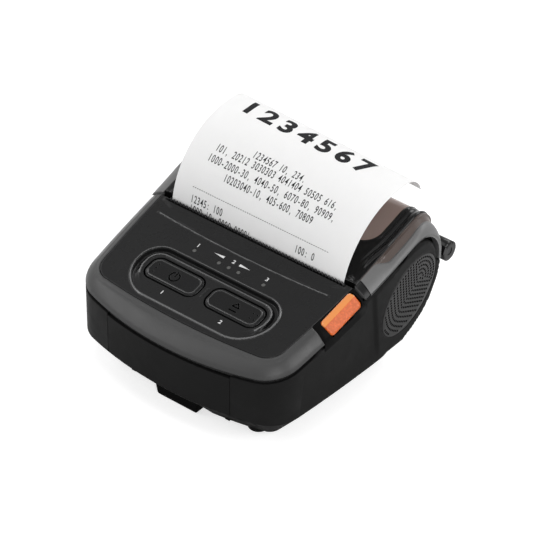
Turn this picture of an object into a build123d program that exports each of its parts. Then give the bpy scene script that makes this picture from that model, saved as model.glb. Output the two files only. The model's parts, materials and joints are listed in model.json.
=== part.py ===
from build123d import *
from math import acos, atan2, cos, degrees, hypot, pi, radians, sin, sqrt, tan
import os

# Portable receipt printer for 80 mm paper, standing on its feet.
# X is across the paper, -Y is the front with the battery, +Z is up and Z = 0 is the table.

os.makedirs("parts", exist_ok=True)

# Body
body_width = 100.8
front_y = -53.2
crease_z = 13.0
belly_z = 2.0
belly_inset = 9.4
drum_y = 16.2
drum_z = 41.3
drum_radius = 28.3
bulge_radius = 29.5
bulge_half_width = 46.0
bulge_chamfer = 2.5
bulge_front_y = 8.0
front_bow = 140.0
side_bow = 650.0
side_bow_y = 21.0
corner_radius = 14.0
wall = 2.4
bulge_wall = 1.6
rear_lip_z = 37.8
tall = 90.0

# Sloping control deck and the grey band round it
joint_y = -0.3
deck_joint_z = 48.5
deck_slope = 12.24
deck_thick = 2.6
band_drop = 5.2
band_front = 8.0
band_side = 5.8
deck_bow = 320.0
deck_corner = 7.5
band_edge = 0.6
lip_height = 1.8
lip_inset = 0.8
seam = 0.3

# Cover
shoulder_joint_z = 48.7
shoulder_slope = 16.0
shoulder_radius = 8.0
cover_rear_gap = 0.2
cover_wall = 2.0
cover_half_width = 44.4
cover_front_y = 0.7
cover_low_z = 38.4
side_seam_z = 44.2
side_seam_slope = 15.9
side_seam_radius = 11.0
side_seam_rear_y = 41.9
groove = 0.75
trim_radius = 12.5
skirt_outer = 47.5
skirt_inner = 45.7
skirt_depth = 5.0
window_half_width = 38.3
window_front_y = 17.0
window_corner = 7.0
window_thick = 1.5
window_low_z = 48.0
fit_gap = 0.15

# Hinge
hinge_y = 49.3
hinge_z = 38.0
rod_radius = 1.6
barrel_radius = 3.9
base_barrel_inner = 42.0
base_barrel_outer = 50.2
arm_outer = 46.0
running_gap = 0.06

# Paper
paper_width = 79.5
paper_thick = 0.3
exit_z = 48.3
crest_y = 31.0
crest_z_right = 71.0
crest_z_left = 75.0
crest_flat = 4.0
tail_radius = 9.8
tail_turn = 75.0
roll_radius = 17.4
core_radius = 6.5
core_bore = 5.5
bucket_y = 22.2
bucket_z = 27.6
bucket_inner = 18.7
bucket_wall = 0.8
bucket_half_width = 40.4
bucket_side_wall = 1.0
roll_rest = 0.3

# Platen, gears and motor
platen_y = 4.2
platen_z = 39.5
platen_radius = 4.2
platen_half_length = 40.2
shaft_radius = 1.5
bush_radius = 3.0
gear_module = 0.5
platen_teeth = 20
idler_teeth = 36
pinion_teeth = 10
gear_inner_x = 43.3
gear_outer_x = 45.3
idler_lean = 1.9
pinion_lean = 33.4
motor_radius = 6.0
motor_inner_x = 25.0
motor_outer_x = 41.5
motor_shaft_radius = 1.0
motor_bore_x = 38.3

# Mechanism frame and print head
cheek_inner = 41.8
cheek_outer = 43.0
cheek_bottom_z = 10.4
cheek_top_z = 42.0
frame_top_z = 37.0
frame_front_y = -12.5
frame_sheet = 1.2
head_pivot_y = -3.4
head_pivot_z = 25.4
head_front_y = -5.2
head_rear_y = -2.2
head_top_z = 42.3
head_half_width = 40.6
spring_x = 25.0
spring_z = 34.0
spring_radius = 2.2
spring_wire = 0.35
blade_front_y = -1.9
blade_rear_y = -1.1
blade_half_width = 41.0
tooth_pitch = 1.5
tooth_height = 0.8

# Keys and indicators
key_x = 14.05
key_y = -29.8
key_length = 23.8
key_width = 10.0
key_corner = 3.7
key_gap = 0.5
key_flange = 0.5
key_rise = 1.5
key_travel = 0.5
moat_length = 61.6
moat_width = 22.2
moat_shift = -1.65
moat_rear_corner = 7.0
moat_front_corner = 13.0
moat_slope_width = 1.2
moat_depth = 1.1
lamp_y = -16.3
lamp_x = (-16.0, -4.5, 0.0, 4.5, 16.0)
lamp_radius = 0.75
board_depth = 6.0
board_thick = 1.2
board_half_width = 30.0
board_front_y = -39.3
board_rear_y = -17.0

# Cover release
latch_y = -10.8
latch_length = 17.6
latch_width = 6.5
latch_corner = 1.6
latch_rise = 0.9
latch_depth = 3.0
latch_stem = 5.2
bezel_front_y = -22.5
bezel_skirt = 3.6
bezel_thick = 1.3
lever_pin_y = 0.5
lever_pin_z = 30.0
lever_inner_x = 43.4
lever_outer_x = 45.4

# Battery
battery_half_width = 27.9
battery_low_z = 14.9
battery_top_z = 29.6
battery_rear_y = -17.3
battery_setback = 4.0
panel_half_width = 28.3
panel_top_z = 29.9
bay_wall = 1.5
bay_gap = 0.3
bay_rear_y = -13.0
bay_setback = 6.2

# Underside
foot_radius = 4.0
foot_places = ((30.0, -36.0), (28.0, 10.0))
clip_half_width = 10.5
clip_low_z = 0.4
clip_thick = 2.0
clip_front_y = -46.2
clip_lip_z = 5.4
clip_pin_y = 2.5
clip_pin_z = 3.0
clip_pin_radius = 1.0
clip_knuckle = 2.2
slot_half_width = 14.5
slot_roof_z = 10.2
slot_skin = 1.6
slot_rear_y = 6.0
screw_places = ((34.0, -34.0), (34.0, -17.5))
screw_radius = 1.4
screw_head_radius = 2.6
boss_radius = 3.6
boss_top_z = 17.0

# Left side sockets
port_front_y = -35.5
port_rear_y = -15.0
port_low_z = 17.6
port_top_z = 28.0
flap_thick = 1.6

# Grille on each side disc
grille_long = 34.0
grille_wide = 23.6
grille_y = 24.9
grille_z = 32.5
grille_tilt = 35.0
grille_thick = 1.0

standing = (Align.CENTER, Align.CENTER, Align.MIN)
half_width = body_width / 2
beyond = body_width  # reach of the cutting shapes, past the object on every side
battery_front_y = front_y + battery_setback
bay_front_y = front_y + bay_setback
drum_rear_y = drum_y + drum_radius
bulge_y = drum_rear_y - bulge_radius
bulge_z = belly_z + bulge_radius
cover_rear_y = drum_rear_y - cover_rear_gap
deck_rise = tan(radians(deck_slope))
paper_half = paper_width / 2
roll_z = bucket_z - (bucket_inner - roll_radius - roll_rest)
gear_centre = gear_module * (platen_teeth + idler_teeth) / 2
idler_y = platen_y - gear_centre * sin(radians(idler_lean))
idler_z = platen_z - gear_centre * cos(radians(idler_lean))
pinion_centre = gear_module * (idler_teeth + pinion_teeth) / 2
pinion_y = idler_y - pinion_centre * sin(radians(pinion_lean))
pinion_z = idler_z - pinion_centre * cos(radians(pinion_lean))


def deck_z(y):
    """Height of the deck surface."""
    return deck_joint_z + (y - joint_y) * deck_rise


def band_z(y):
    """Height of the grey band's lower edge."""
    return deck_z(y) - band_drop


def side_x(y, inset=0.0):
    """Half width of the body at a place along its length."""
    reach = side_bow - inset
    return half_width - side_bow + sqrt(reach**2 - min(y - side_bow_y, 0.0) ** 2)


def box(x, y, z):
    """Block between three pairs of limits."""
    size = [high - low for low, high in (x, y, z)]
    middle = [(high + low) / 2 for low, high in (x, y, z)]
    return Pos(*middle) * Box(*size)


def both_sides(solid):
    """A solid and its mirror image across the middle plane."""
    return solid + mirror(solid, about=Plane.YZ)


def side_prism(sketch, low_x, high_x):
    """Side-view outline, Y across and Z up, stretched between two values of X."""
    return extrude(Plane.YZ.offset(low_x) * sketch, high_x - low_x)


def side_polygon(points):
    """Outline with straight edges."""
    return make_face(Polyline(*points, close=True).edges())


def front_plane(y):
    """Upright plane across the body, facing the front."""
    return Plane(origin=(0, y, 0), x_dir=(1, 0, 0), z_dir=(0, -1, 0))


def disc(y, z, radius, low_x, high_x):
    """Cylinder along X."""
    return side_prism(Pos(y, z) * Circle(radius), low_x, high_x)


def circle_crossing(first, first_radius, second, second_radius):
    """Front crossing point of two circles."""
    gap_x = second[0] - first[0]
    gap_y = second[1] - first[1]
    gap = hypot(gap_x, gap_y)
    along = (first_radius**2 - second_radius**2 + gap**2) / (2 * gap)
    across = sqrt(first_radius**2 - along**2)
    foot_x = first[0] + along * gap_x / gap
    foot_y = first[1] + along * gap_y / gap
    options = [
        (foot_x + side * across * gap_y / gap, foot_y - side * across * gap_x / gap)
        for side in (1, -1)
    ]
    return min(options, key=lambda point: point[1])


def plan_outline(front_inset=0.0, side_inset=0.0, rear_y=beyond, bow=None, corner=None):
    """Plan of the body: bowed front, rounded corners and slightly bowed sides."""
    bow = bow or front_bow - front_inset
    corner = corner or corner_radius - side_inset
    front_centre = (0.0, front_y + front_inset + bow)
    side_centre = (half_width - side_bow, side_bow_y)
    tip = circle_crossing(front_centre, bow, side_centre, side_bow - side_inset)
    mirrored_tip = (-tip[0], tip[1])
    bow_end = min(side_bow_y, rear_y)
    middle_y = (tip[1] + bow_end) / 2
    middle_x = side_x(middle_y, side_inset)
    end_x = side_x(bow_end, side_inset)
    edges = [
        ThreePointArc(mirrored_tip, (0.0, front_y + front_inset), tip),
        ThreePointArc(tip, (middle_x, middle_y), (end_x, bow_end)),
        ThreePointArc((-end_x, bow_end), (-middle_x, middle_y), mirrored_tip),
    ]
    if rear_y > side_bow_y:
        edges.append(Line((end_x, bow_end), (end_x, rear_y)))
        edges.append(Line((-end_x, rear_y), (-end_x, bow_end)))
    edges.append(Line((end_x, rear_y), (-end_x, rear_y)))
    face = make_face(edges)
    return fillet(face.vertices().sort_by(Axis.Y)[:2], corner)


def plan_prism(front_inset, side_inset, low_z, high_z, rear_y=beyond):
    """Plan outline stretched between two heights."""
    return extrude(Pos(0, 0, low_z) * plan_outline(front_inset, side_inset, rear_y), high_z - low_z)


def deck_prism(inset):
    """Plan of the control deck inside the grey band, stretched upwards."""
    corner = max(deck_corner - inset, 2.0)
    return extrude(plan_outline(band_front + inset, band_side + inset, beyond, deck_bow, corner), tall)


def drum_region(inset, low_z):
    """Side view of the body above the crease: flat bottom, then the drum's curve."""
    reach = drum_radius - inset
    low = max(drum_z - reach, low_z)
    diagonal = reach * sin(radians(45))
    edges = [
        Line((-beyond, low), (drum_y, low)),
        ThreePointArc((drum_y, low), (drum_y + diagonal, drum_z - diagonal), (drum_y + reach, drum_z)),
        Line((drum_y + reach, drum_z), (drum_y + reach, tall)),
        Line((drum_y + reach, tall), (-beyond, tall)),
        Line((-beyond, tall), (-beyond, low)),
    ]
    return make_face(edges)


def bulge_body(inset, half, top_z, start_y, side_chamfer=0.0):
    """Rounded rear belly between the side discs, tapered in towards the bottom."""
    reach = bulge_radius - inset
    low = bulge_z - reach
    diagonal = reach * sin(radians(45))
    edges = [
        Line((start_y, low), (bulge_y, low)),
        ThreePointArc((bulge_y, low), (bulge_y + diagonal, bulge_z - diagonal), (bulge_y + reach, bulge_z)),
        Line((bulge_y + reach, bulge_z), (bulge_y + reach, top_z)),
        Line((bulge_y + reach, top_z), (start_y, top_z)),
        Line((start_y, top_z), (start_y, low)),
    ]
    solid = side_prism(make_face(edges), -half, half)
    if side_chamfer:
        outer_edges = solid.edges().filter_by(lambda edge: abs(abs(edge.center().X) - half) < 0.01)
        rear_edges = outer_edges.filter_by(lambda edge: edge.center().Y > bulge_y + 1)
        solid = chamfer(rear_edges.filter_by(lambda edge: edge.center().Z < top_z - 1), side_chamfer)
    ratio = belly_inset / (crease_z - belly_z)
    low_half = half_width - belly_inset - inset * (sqrt(1 + ratio**2) - ratio)
    top_half = low_half + ratio * (tall - low)
    corners = [(-low_half, low), (low_half, low), (top_half, tall), (-top_half, tall)]
    return solid & extrude(front_plane(beyond) * side_polygon(corners), 2 * beyond)


def tub_body(inset, top_z, low_z, rear_y):
    """Belly that tapers in from the crease."""
    drop = (top_z - low_z) * belly_inset / (crease_z - belly_z)
    top = Pos(0, 0, top_z) * plan_outline(inset, inset, rear_y)
    low = Pos(0, 0, low_z) * plan_outline(inset + drop, inset + drop, rear_y - drop)
    return loft([low.face(), top.face()], ruled=True)


def hood(joint_z, slope, radius, rear_y, start_y, low_z, inset=0.0):
    """Side view that rises along a slope, rounds over and drops at the rear."""
    angle = radians(slope)
    reach = radius - inset
    rear = rear_y - inset
    centre_y = rear - reach

    def line_z(y):
        return joint_z + (y - joint_y) * tan(angle) - inset / cos(angle)

    centre_z = line_z(centre_y) - reach / cos(angle)
    tangent = (centre_y - reach * sin(angle), centre_z + reach * cos(angle))
    middle = (90.0 + slope) / 2
    over = (centre_y + reach * cos(radians(middle)), centre_z + reach * sin(radians(middle)))
    edges = [
        Line((start_y, low_z), (start_y, line_z(start_y))),
        Line((start_y, line_z(start_y)), tangent),
        ThreePointArc(tangent, over, (rear, centre_z)),
        Line((rear, centre_z), (rear, low_z)),
        Line((rear, low_z), (start_y, low_z)),
    ]
    return make_face(edges)


def cover_outline(start_y, low_z, inset=0.0):
    """Side view of the cover's top surface."""
    return hood(shoulder_joint_z, shoulder_slope, shoulder_radius, cover_rear_y, start_y, low_z, inset)


def trim_outline(start_y, low_z, inset=0.0):
    """Side view of the cover trim's outer lower edge."""
    rise = groove / cos(radians(side_seam_slope))
    return hood(side_seam_z + rise, side_seam_slope, trim_radius, cover_rear_y - 0.2, start_y, low_z, inset)


def panel_outline(start_y, low_z, inset=0.0):
    """Side view of the lower case's raised side panel."""
    size = (side_seam_z, side_seam_slope, side_seam_radius, side_seam_rear_y)
    return hood(*size, start_y, low_z, inset + groove)


def deck_plane(x, y, depth=0.0):
    """Plane on the deck, or below it, with its normal out of the deck."""
    tilt = radians(deck_slope)
    return Plane(
        origin=(x, y + depth * sin(tilt), deck_z(y) - depth * cos(tilt)),
        x_dir=(1, 0, 0),
        z_dir=(0, -sin(tilt), cos(tilt)),
    )


def deck_layer(top_depth, low_depth, start_y, end_y):
    """Side view of a layer between two vertical depths under the deck."""
    return side_polygon(
        [
            (start_y, deck_z(start_y) - low_depth),
            (end_y, deck_z(end_y) - low_depth),
            (end_y, deck_z(end_y) - top_depth),
            (start_y, deck_z(start_y) - top_depth),
        ]
    )


def band_plane():
    """Plane in the middle of the latch, on the slope of the band."""
    across = Vector(-band_side, 0, band_drop)
    along = Vector(0, 1, deck_rise)
    x = side_x(latch_y) - band_side / 2
    return Plane(
        origin=(x, latch_y, deck_z(latch_y) - band_drop / 2),
        x_dir=along,
        z_dir=along.cross(across),
    )


def band_frustum():
    """The sloping band and everything inside it, as one solid."""
    under = side_prism(deck_layer(band_drop - band_edge, tall, -beyond, beyond), -beyond, beyond)
    low = plan_prism(0, 0, -tall, tall) & under
    top = deck_prism(0) & side_prism(deck_layer(0, tall / 2, -beyond, beyond), -beyond, beyond)
    low_face = low.faces().sort_by(lambda face: face.normal_at().Z)[-1]
    top_face = top.faces().sort_by(lambda face: face.normal_at().Z)[-1]
    slope = loft([low_face, top_face], ruled=True)
    edge = side_prism(deck_layer(band_drop - band_edge, band_drop, -beyond, beyond), -beyond, beyond)
    return slope + (plan_prism(0, 0, -tall, tall) & edge)


def gear(teeth, bore, turn):
    """Spur gear outline with straight-sided teeth, one tooth at the given angle."""
    pitch_radius = gear_module * teeth / 2
    step = 2 * pi / teeth
    points = []
    for number in range(teeth):
        centre = radians(turn) + number * step
        for radius, share in ((-1.15, -0.32), (0.85, -0.13), (0.85, 0.13), (-1.15, 0.32)):
            reach = pitch_radius + radius * gear_module
            angle = centre + share * step
            points.append((reach * cos(angle), reach * sin(angle)))
    return make_face(Polyline(*points, close=True).edges()) - Circle(bore)


def gear_solid(y, z, teeth, bore, turn):
    """Gear in the plane of the train, on the left of the mechanism."""
    return side_prism(Pos(y, z) * gear(teeth, bore, turn), -gear_outer_x, -gear_inner_x)


def lower_case():
    """Black lower shell with side panels, drum, belly and hinge ears."""
    upper = plan_prism(0, 0, crease_z, tall) & side_prism(drum_region(0, crease_z), -beyond, beyond)
    outer = upper + tub_body(0, crease_z, belly_z, drum_y)
    outer += bulge_body(0, bulge_half_width, rear_lip_z, bulge_front_y, bulge_chamfer)
    keep = (
        side_polygon(
            [
                (-beyond, -5),
                (joint_y, -5),
                (joint_y, band_z(joint_y) - lip_height),
                (-beyond, band_z(-beyond) - lip_height),
            ]
        )
        + panel_outline(joint_y, -5)
        + side_polygon(
            [(-beyond, -5), (beyond, -5), (beyond, rear_lip_z), (0, rear_lip_z), (0, 20), (-beyond, 20)]
        )
    )
    outer = outer & side_prism(keep, -beyond, beyond)
    inner_low = crease_z + 2.2
    hollow = plan_prism(wall, wall, 0, tall) & side_prism(drum_region(wall - 0.2, inner_low), -beyond, beyond)
    tub_wall = wall + 0.4
    hollow += tub_body(tub_wall, crease_z, belly_z + 2, drum_y - tub_wall)
    hollow += plan_prism(tub_wall, tub_wall, crease_z - 0.4, inner_low + 0.5, drum_y - tub_wall)
    hollow += bulge_body(bulge_wall, bulge_half_width - 2.6, tall, bulge_front_y + 1)
    slot_outer = slot_half_width + slot_skin
    hollow -= box((-slot_outer, slot_outer), (-beyond, slot_rear_y + 2), (-5, slot_roof_z + slot_skin))
    case = outer - hollow
    case -= box((-slot_half_width, slot_half_width), (-beyond, slot_rear_y), (-5, slot_roof_z))
    case -= box((-panel_half_width - 0.2, panel_half_width + 0.2), (-beyond, front_y + 5.5), (crease_z, tall))
    for x, y in screw_places:
        case += both_sides(Pos(x, y, belly_z) * Cylinder(boss_radius, boss_top_z - belly_z, align=standing))
        bore = Pos(x, y, 0) * Cylinder(screw_radius + 0.2, tall)
        sink = Pos(x, y, 0) * Cylinder(screw_head_radius + 0.3, 2 * (belly_z + 3))
        case -= both_sides(bore + sink)
    rib_top = crease_z - 0.05
    case += both_sides(box((21, 23), (-44, bay_rear_y - 4), (3.5, rib_top)))
    arm = side_polygon([(42.6, 30), (43.9, 30), (52, 36), (46, 38.4), (44.9, 37.2), (42.6, 37.2)])
    ear = side_prism(arm, base_barrel_inner, arm_outer)
    ear += disc(hinge_y, hinge_z, barrel_radius, base_barrel_inner, base_barrel_outer)
    case += both_sides(ear)
    case -= disc(hinge_y, hinge_z, rod_radius + running_gap / 2, -beyond, beyond)
    case -= disc(clip_pin_y, clip_pin_z, clip_pin_radius + running_gap / 2, -slot_outer, slot_outer)
    case -= bezel_skirt_space(0.1)
    case -= latch_well(0.5, 10)
    case -= port_opening()
    for side in (1, -1):
        case -= grille_plate(side, 0.1, 1.0)
    return case


def bezel_skirt_space(gap):
    """Strip down the right side that the latch bezel's skirt fills."""
    ring = plan_prism(-0.5, -0.5, 0, tall) - plan_prism(bezel_thick + gap, bezel_thick + gap, 0, tall)
    rear_y = joint_y - seam + gap
    span = deck_layer(band_drop - 0.01, band_drop + bezel_skirt + gap, bezel_front_y - gap, rear_y)
    return ring & side_prism(span, 20, beyond)


def grille_frame(side):
    """Plane on the side disc, X along the oval."""
    return Plane(
        origin=(side * half_width, grille_y, grille_z),
        x_dir=(0, cos(radians(grille_tilt)), sin(radians(grille_tilt))),
        z_dir=(side, 0, 0),
    )


def grille_plate(side, gap=0.0, proud=0.0):
    """Oval insert in the side disc, or the recess for it, which starts proud of the disc."""
    outline = Ellipse(grille_long / 2 + gap, grille_wide / 2 + gap)
    return extrude(grille_frame(side).offset(proud) * outline, -(grille_thick + gap + proud))


def moat_outline(inset):
    """Outline of the recess round the keys, with wider corners at the front."""
    outline = Pos(0, moat_shift) * Rectangle(moat_length - 2 * inset, moat_width - 2 * inset)
    outline = fillet(outline.vertices().sort_by(Axis.Y)[:2], moat_front_corner - inset)
    return fillet(outline.vertices().sort_by(Axis.Y)[-2:], moat_rear_corner - inset)


def upper_case():
    """Black control panel with its recessed key field and the flange under the grey band."""
    block = deck_prism(0) & side_prism(deck_layer(0, band_drop + 0.6, -beyond, -0.9), -beyond, beyond)
    flange = plan_prism(lip_inset, lip_inset, 0, tall) & side_prism(
        deck_layer(band_drop + 0.05, band_drop + lip_height - 0.05, -beyond, -0.9), -beyond, beyond
    )
    inner = deck_prism(2) & side_prism(deck_layer(deck_thick, 20, -beyond, 0), -beyond, beyond)
    case = block + flange - inner
    blade_space = blade_half_width + 0.3
    case -= box((-blade_space, blade_space), (blade_front_y - 0.3, 5), (0, tall))
    rim = deck_plane(0, key_y) * moat_outline(0)
    trough = deck_plane(0, key_y, moat_depth) * moat_outline(moat_slope_width)
    case -= loft([rim.face(), trough.face()], ruled=True)
    for x in (-key_x, key_x):
        well = RectangleRounded(key_length + 2 * key_gap, key_width + 2 * key_gap, key_corner + key_gap)
        case -= extrude(deck_plane(x, key_y, 5) * well, 10)
    for x in lamp_x:
        case -= extrude(deck_plane(x, lamp_y, 5) * Circle(lamp_radius + 0.1), 10)
    for x, y in screw_places:
        post = Pos(x, y, boss_top_z + 0.2) * Cylinder(boss_radius - 0.4, tall, align=standing)
        under = side_prism(deck_layer(deck_thick - 0.5, 40, -beyond, 0), -beyond, beyond)
        pilot = Pos(x, y, boss_top_z) * Cylinder(screw_radius + 0.05, 20)
        case += both_sides((post & under) - pilot)
    case -= bezel_skirt_space(0.1)
    case -= latch_well(0.5, 12)
    case -= both_sides(box((cheek_inner - 0.4, 47.8), (frame_front_y - 0.5, 0), (0, cheek_top_z + 0.6)))
    bay_space = battery_half_width + bay_gap + bay_wall + 0.4
    bay_top = battery_top_z + bay_gap + bay_wall + 0.3
    return case - box((-bay_space, bay_space), (bay_front_y - 0.5, -40), (0, bay_top))


def grey_band():
    """Band round the deck as a ring of triangular section."""
    ring = band_frustum() - deck_prism(-0.05)
    return ring & box((-beyond, beyond), (-beyond, joint_y - seam), (0, tall))


def latch_well(gap, depth):
    """Space that the latch button slides in."""
    outline = RectangleRounded(latch_length + 2 * gap, latch_width + 2 * gap, latch_corner + gap)
    return extrude(band_plane().offset(-depth) * outline, depth + 5)


def latch_button():
    """Orange release button with its stem."""
    outline = RectangleRounded(latch_length, latch_width, latch_corner)
    cap = extrude(band_plane().offset(-latch_depth) * outline, latch_depth + latch_rise)
    normal = band_plane().z_dir
    top = cap.faces().sort_by(lambda face: face.center().dot(normal))[-1]
    cap = fillet(top.edges(), 0.8)
    stem = extrude(band_plane().offset(-latch_stem) * Circle(1.6), latch_stem - latch_depth + 0.5)
    return cap + stem


def bezel():
    """Black surround of the release button, with a skirt down the side."""
    ring = band_frustum() - deck_prism(-0.05)
    part = ring & box((20, beyond), (bezel_front_y, joint_y - seam), (0, tall))
    skirt = plan_prism(0, 0, 0, tall) - plan_prism(bezel_thick, bezel_thick, 0, tall)
    span = deck_layer(band_drop - 0.5, band_drop + bezel_skirt, bezel_front_y, joint_y - seam)
    part += skirt & side_prism(span, 20, beyond)
    return part - latch_well(0.2, 8)


def tear_bar():
    """Serrated steel blade along the paper exit."""
    top = deck_z(blade_front_y) + 0.1
    half = blade_half_width
    count = int(2 * half / tooth_pitch)
    start = -count * tooth_pitch / 2
    points = [(-half, 43.4), (half, 43.4), (half, top)]
    for number in range(count, 0, -1):
        x = start + number * tooth_pitch
        points.append((x, top))
        points.append((x - tooth_pitch / 2, top + tooth_height))
    points.append((start, top))
    points.append((-half, top))
    return extrude(front_plane(blade_rear_y) * side_polygon(points), blade_rear_y - blade_front_y)


def key(x):
    """Key with a rounded top and a flange under the deck."""
    cap = extrude(
        deck_plane(x, key_y, deck_thick + 0.9) * RectangleRounded(key_length, key_width, key_corner),
        deck_thick + 0.9 - moat_depth + key_rise,
    )
    normal = deck_plane(x, key_y).z_dir
    top = cap.faces().sort_by(lambda face: face.center().dot(normal))[-1]
    cap = fillet(top.edges(), 0.9)
    reach = key_gap + key_flange
    outline = RectangleRounded(key_length + 2 * reach, key_width + 2 * reach, key_corner + reach)
    return cap + extrude(deck_plane(x, key_y, deck_thick + 0.9) * outline, 0.8)


def switches():
    """Key switches on the main board."""
    height = board_depth - deck_thick - 0.9 - key_travel - 0.3
    group = [
        extrude(deck_plane(x, key_y, board_depth) * Rectangle(6, 6), height - 0.6)
        + extrude(deck_plane(x, key_y, board_depth) * Circle(1.7), height)
        for x in (-key_x, key_x)
    ]
    return Compound(children=[solid for shape in group for solid in shape.solids()])


def lamps():
    """Indicator light pipes, from the board to the deck surface."""
    group = [
        extrude(deck_plane(x, lamp_y, board_depth - 0.2) * Circle(lamp_radius), board_depth - 0.25)
        for x in lamp_x
    ]
    return Compound(children=[solid for shape in group for solid in shape.solids()])


def main_board():
    """Circuit board parallel to the deck."""
    top_depth = board_depth / cos(radians(deck_slope))
    layer = deck_layer(top_depth, board_depth + board_thick + 0.15, board_front_y, board_rear_y)
    return side_prism(layer, -board_half_width, board_half_width)


def board_piece(x, y, length, width, height):
    """Block under the main board."""
    depth = board_depth + board_thick + 0.15 + height
    return extrude(deck_plane(x, y, depth) * Rectangle(length, width), height)


def buzzer():
    """Round sounder under the main board."""
    depth = board_depth + board_thick + 0.15 + 2.6
    return extrude(deck_plane(18, -22, depth) * Circle(4.2), 2.6)


def battery_pack():
    """Battery body that slides in from the front."""
    body = box(
        (-battery_half_width, battery_half_width),
        (battery_front_y + 0.05, battery_rear_y),
        (battery_low_z, battery_top_z),
    )
    return fillet(body.edges().filter_by(Axis.Y), 1.5)


def battery_front():
    """Bowed end of the battery, flush with the front of the case."""
    across = (-panel_half_width, panel_half_width)
    block = box(across, (-beyond, battery_front_y), (crease_z + 0.1, panel_top_z))
    return plan_prism(0, 0, 0, tall) & block


def battery_bay():
    """Sleeve that the battery slides in, open at the front."""
    inner_x = battery_half_width + bay_gap
    inner_low = battery_low_z - bay_gap
    inner_top = battery_top_z + bay_gap
    outer_x = inner_x + bay_wall
    outer = box((-outer_x, outer_x), (bay_front_y, bay_rear_y), (crease_z, inner_top + bay_wall))
    inner = box((-inner_x, inner_x), (-beyond, bay_rear_y - bay_wall), (inner_low, inner_top))
    return outer - inner


def battery_terminals():
    """Contact block on the rear wall of the bay."""
    block = box((-9, 9), (battery_rear_y + 0.3, bay_rear_y - bay_wall), (18, 26))
    for x in (-6, -2, 2, 6):
        block += box((x - 0.6, x + 0.6), (battery_rear_y + 0.1, battery_rear_y + 0.5), (19, 25))
    return block


def platen_slot():
    """Notch that a platen bush drops into, leaning back as the cover lifts."""
    reach = bush_radius + 0.08
    notch = side_polygon(
        [
            (platen_y - reach, platen_z),
            (platen_y + reach, platen_z),
            (platen_y + reach + 3, platen_z + 12),
            (platen_y - reach, platen_z + 12),
        ]
    )
    return notch + Pos(platen_y, platen_z) * Circle(reach)


def mechanism_frame():
    """Sheet frame with two cheeks that carries the head, gears and motor."""
    cheek = side_polygon(
        [
            (frame_front_y, cheek_bottom_z),
            (1.0, cheek_bottom_z),
            (10.0, 20.0),
            (10.5, cheek_top_z),
            (-1.6, cheek_top_z),
            (-3.6, frame_top_z),
            (frame_front_y, frame_top_z),
        ]
    )
    cheek -= platen_slot()
    cheek -= Pos(head_pivot_y, head_pivot_z) * Circle(shaft_radius + running_gap / 2)
    part = side_prism(cheek, cheek_inner, cheek_outer)
    part = both_sides(part)
    part -= disc(pinion_y, pinion_z, 1.6, -beyond, 0)
    part -= disc(idler_y, idler_z, shaft_radius + running_gap / 2, -beyond, 0)
    part -= disc(lever_pin_y, lever_pin_z, 1.2 + running_gap / 2, 0, beyond)
    sheet_y = (frame_front_y, frame_front_y + frame_sheet)
    return part + box((-cheek_outer, cheek_outer), sheet_y, (16, frame_top_z))


def head_plate():
    """Aluminium heat sink that swings on the pivot pin."""
    plate = box((-head_half_width, head_half_width), (head_front_y, head_rear_y), (head_pivot_z, head_top_z))
    plate += disc(head_pivot_y, head_pivot_z, 2.6, -head_half_width, head_half_width)
    for number in range(9):
        x = -32 + 8 * number
        plate -= box((x - 1, x + 1), (head_front_y - 1, head_front_y + 1), (29, 33))
    return plate - disc(head_pivot_y, head_pivot_z, shaft_radius + running_gap, -beyond, beyond)


def thermal_head():
    """Ceramic strip that prints, on the rear face of the heat sink."""
    return box((-40, 40), (head_rear_y, head_rear_y + 1.0), (34.5, head_top_z))


def head_springs():
    """Two coil springs between the frame and the heat sink, each as a stack of turns."""
    length = head_front_y - frame_front_y - frame_sheet
    solids = []
    for x in (-spring_x, spring_x):
        seat = (x, frame_front_y + frame_sheet + 0.02, spring_z)
        plane = Plane(origin=seat, x_dir=(1, 0, 0), z_dir=(0, 1, 0))
        pitch = (length - 2 * spring_wire - 0.04) / 4
        path = Helix(pitch, 4 * pitch, spring_radius)
        profile = Plane(origin=path @ 0, z_dir=path % 0) * Circle(spring_wire)
        coil = sweep(profile, path)
        solids += (plane.location * Pos(0, 0, spring_wire) * coil).solids()
    return Compound(children=solids)


def latch_spring():
    """Coil round the lever's pin that returns the release button."""
    start = Plane(origin=(lever_outer_x + 0.4, lever_pin_y, lever_pin_z), x_dir=(0, 1, 0), z_dir=(1, 0, 0))
    path = Helix(0.8, 1.6, 1.65)
    profile = Plane(origin=path @ 0, z_dir=path % 0) * Circle(0.25)
    return start.location * sweep(profile, path)


def roll_bucket():
    """Curved tray under the paper roll, with a wall at each end."""
    outer = bucket_inner + bucket_wall
    ring = Pos(bucket_y, bucket_z) * (Circle(outer) - Circle(bucket_inner))
    rear_cut = side_polygon([(bucket_y, 34), (beyond, 34), (beyond, beyond), (bucket_y, beyond)])
    front_cut = side_polygon([(-20, 19.5), (bucket_y, 19.5), (bucket_y, beyond), (-20, beyond)])
    half = bucket_half_width + bucket_side_wall
    tray = side_prism(ring - rear_cut - front_cut, -half + 0.4, half - 0.4)
    end = Pos(bucket_y, bucket_z) * Circle(bucket_inner + 0.4)
    end -= side_polygon([(-20, 33.5), (beyond, 33.5), (beyond, beyond), (-20, beyond)])
    ends = side_prism(end, bucket_half_width, half)
    tray += both_sides(ends)
    return tray - Pos(0, bucket_y, bucket_z - outer) * Cylinder(2.5, 4)


def paper_sensor():
    """Reflective sensor that looks through the bucket floor."""
    top = bucket_z - bucket_inner - bucket_wall - 0.2
    return box((-5, 5), (bucket_y - 3, bucket_y + 3), (top - 1.6, top))


def paper_roll():
    """Wound paper."""
    return disc(bucket_y, roll_z, roll_radius, -paper_half, paper_half) - disc(
        bucket_y, roll_z, core_radius, -beyond, beyond
    )


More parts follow.
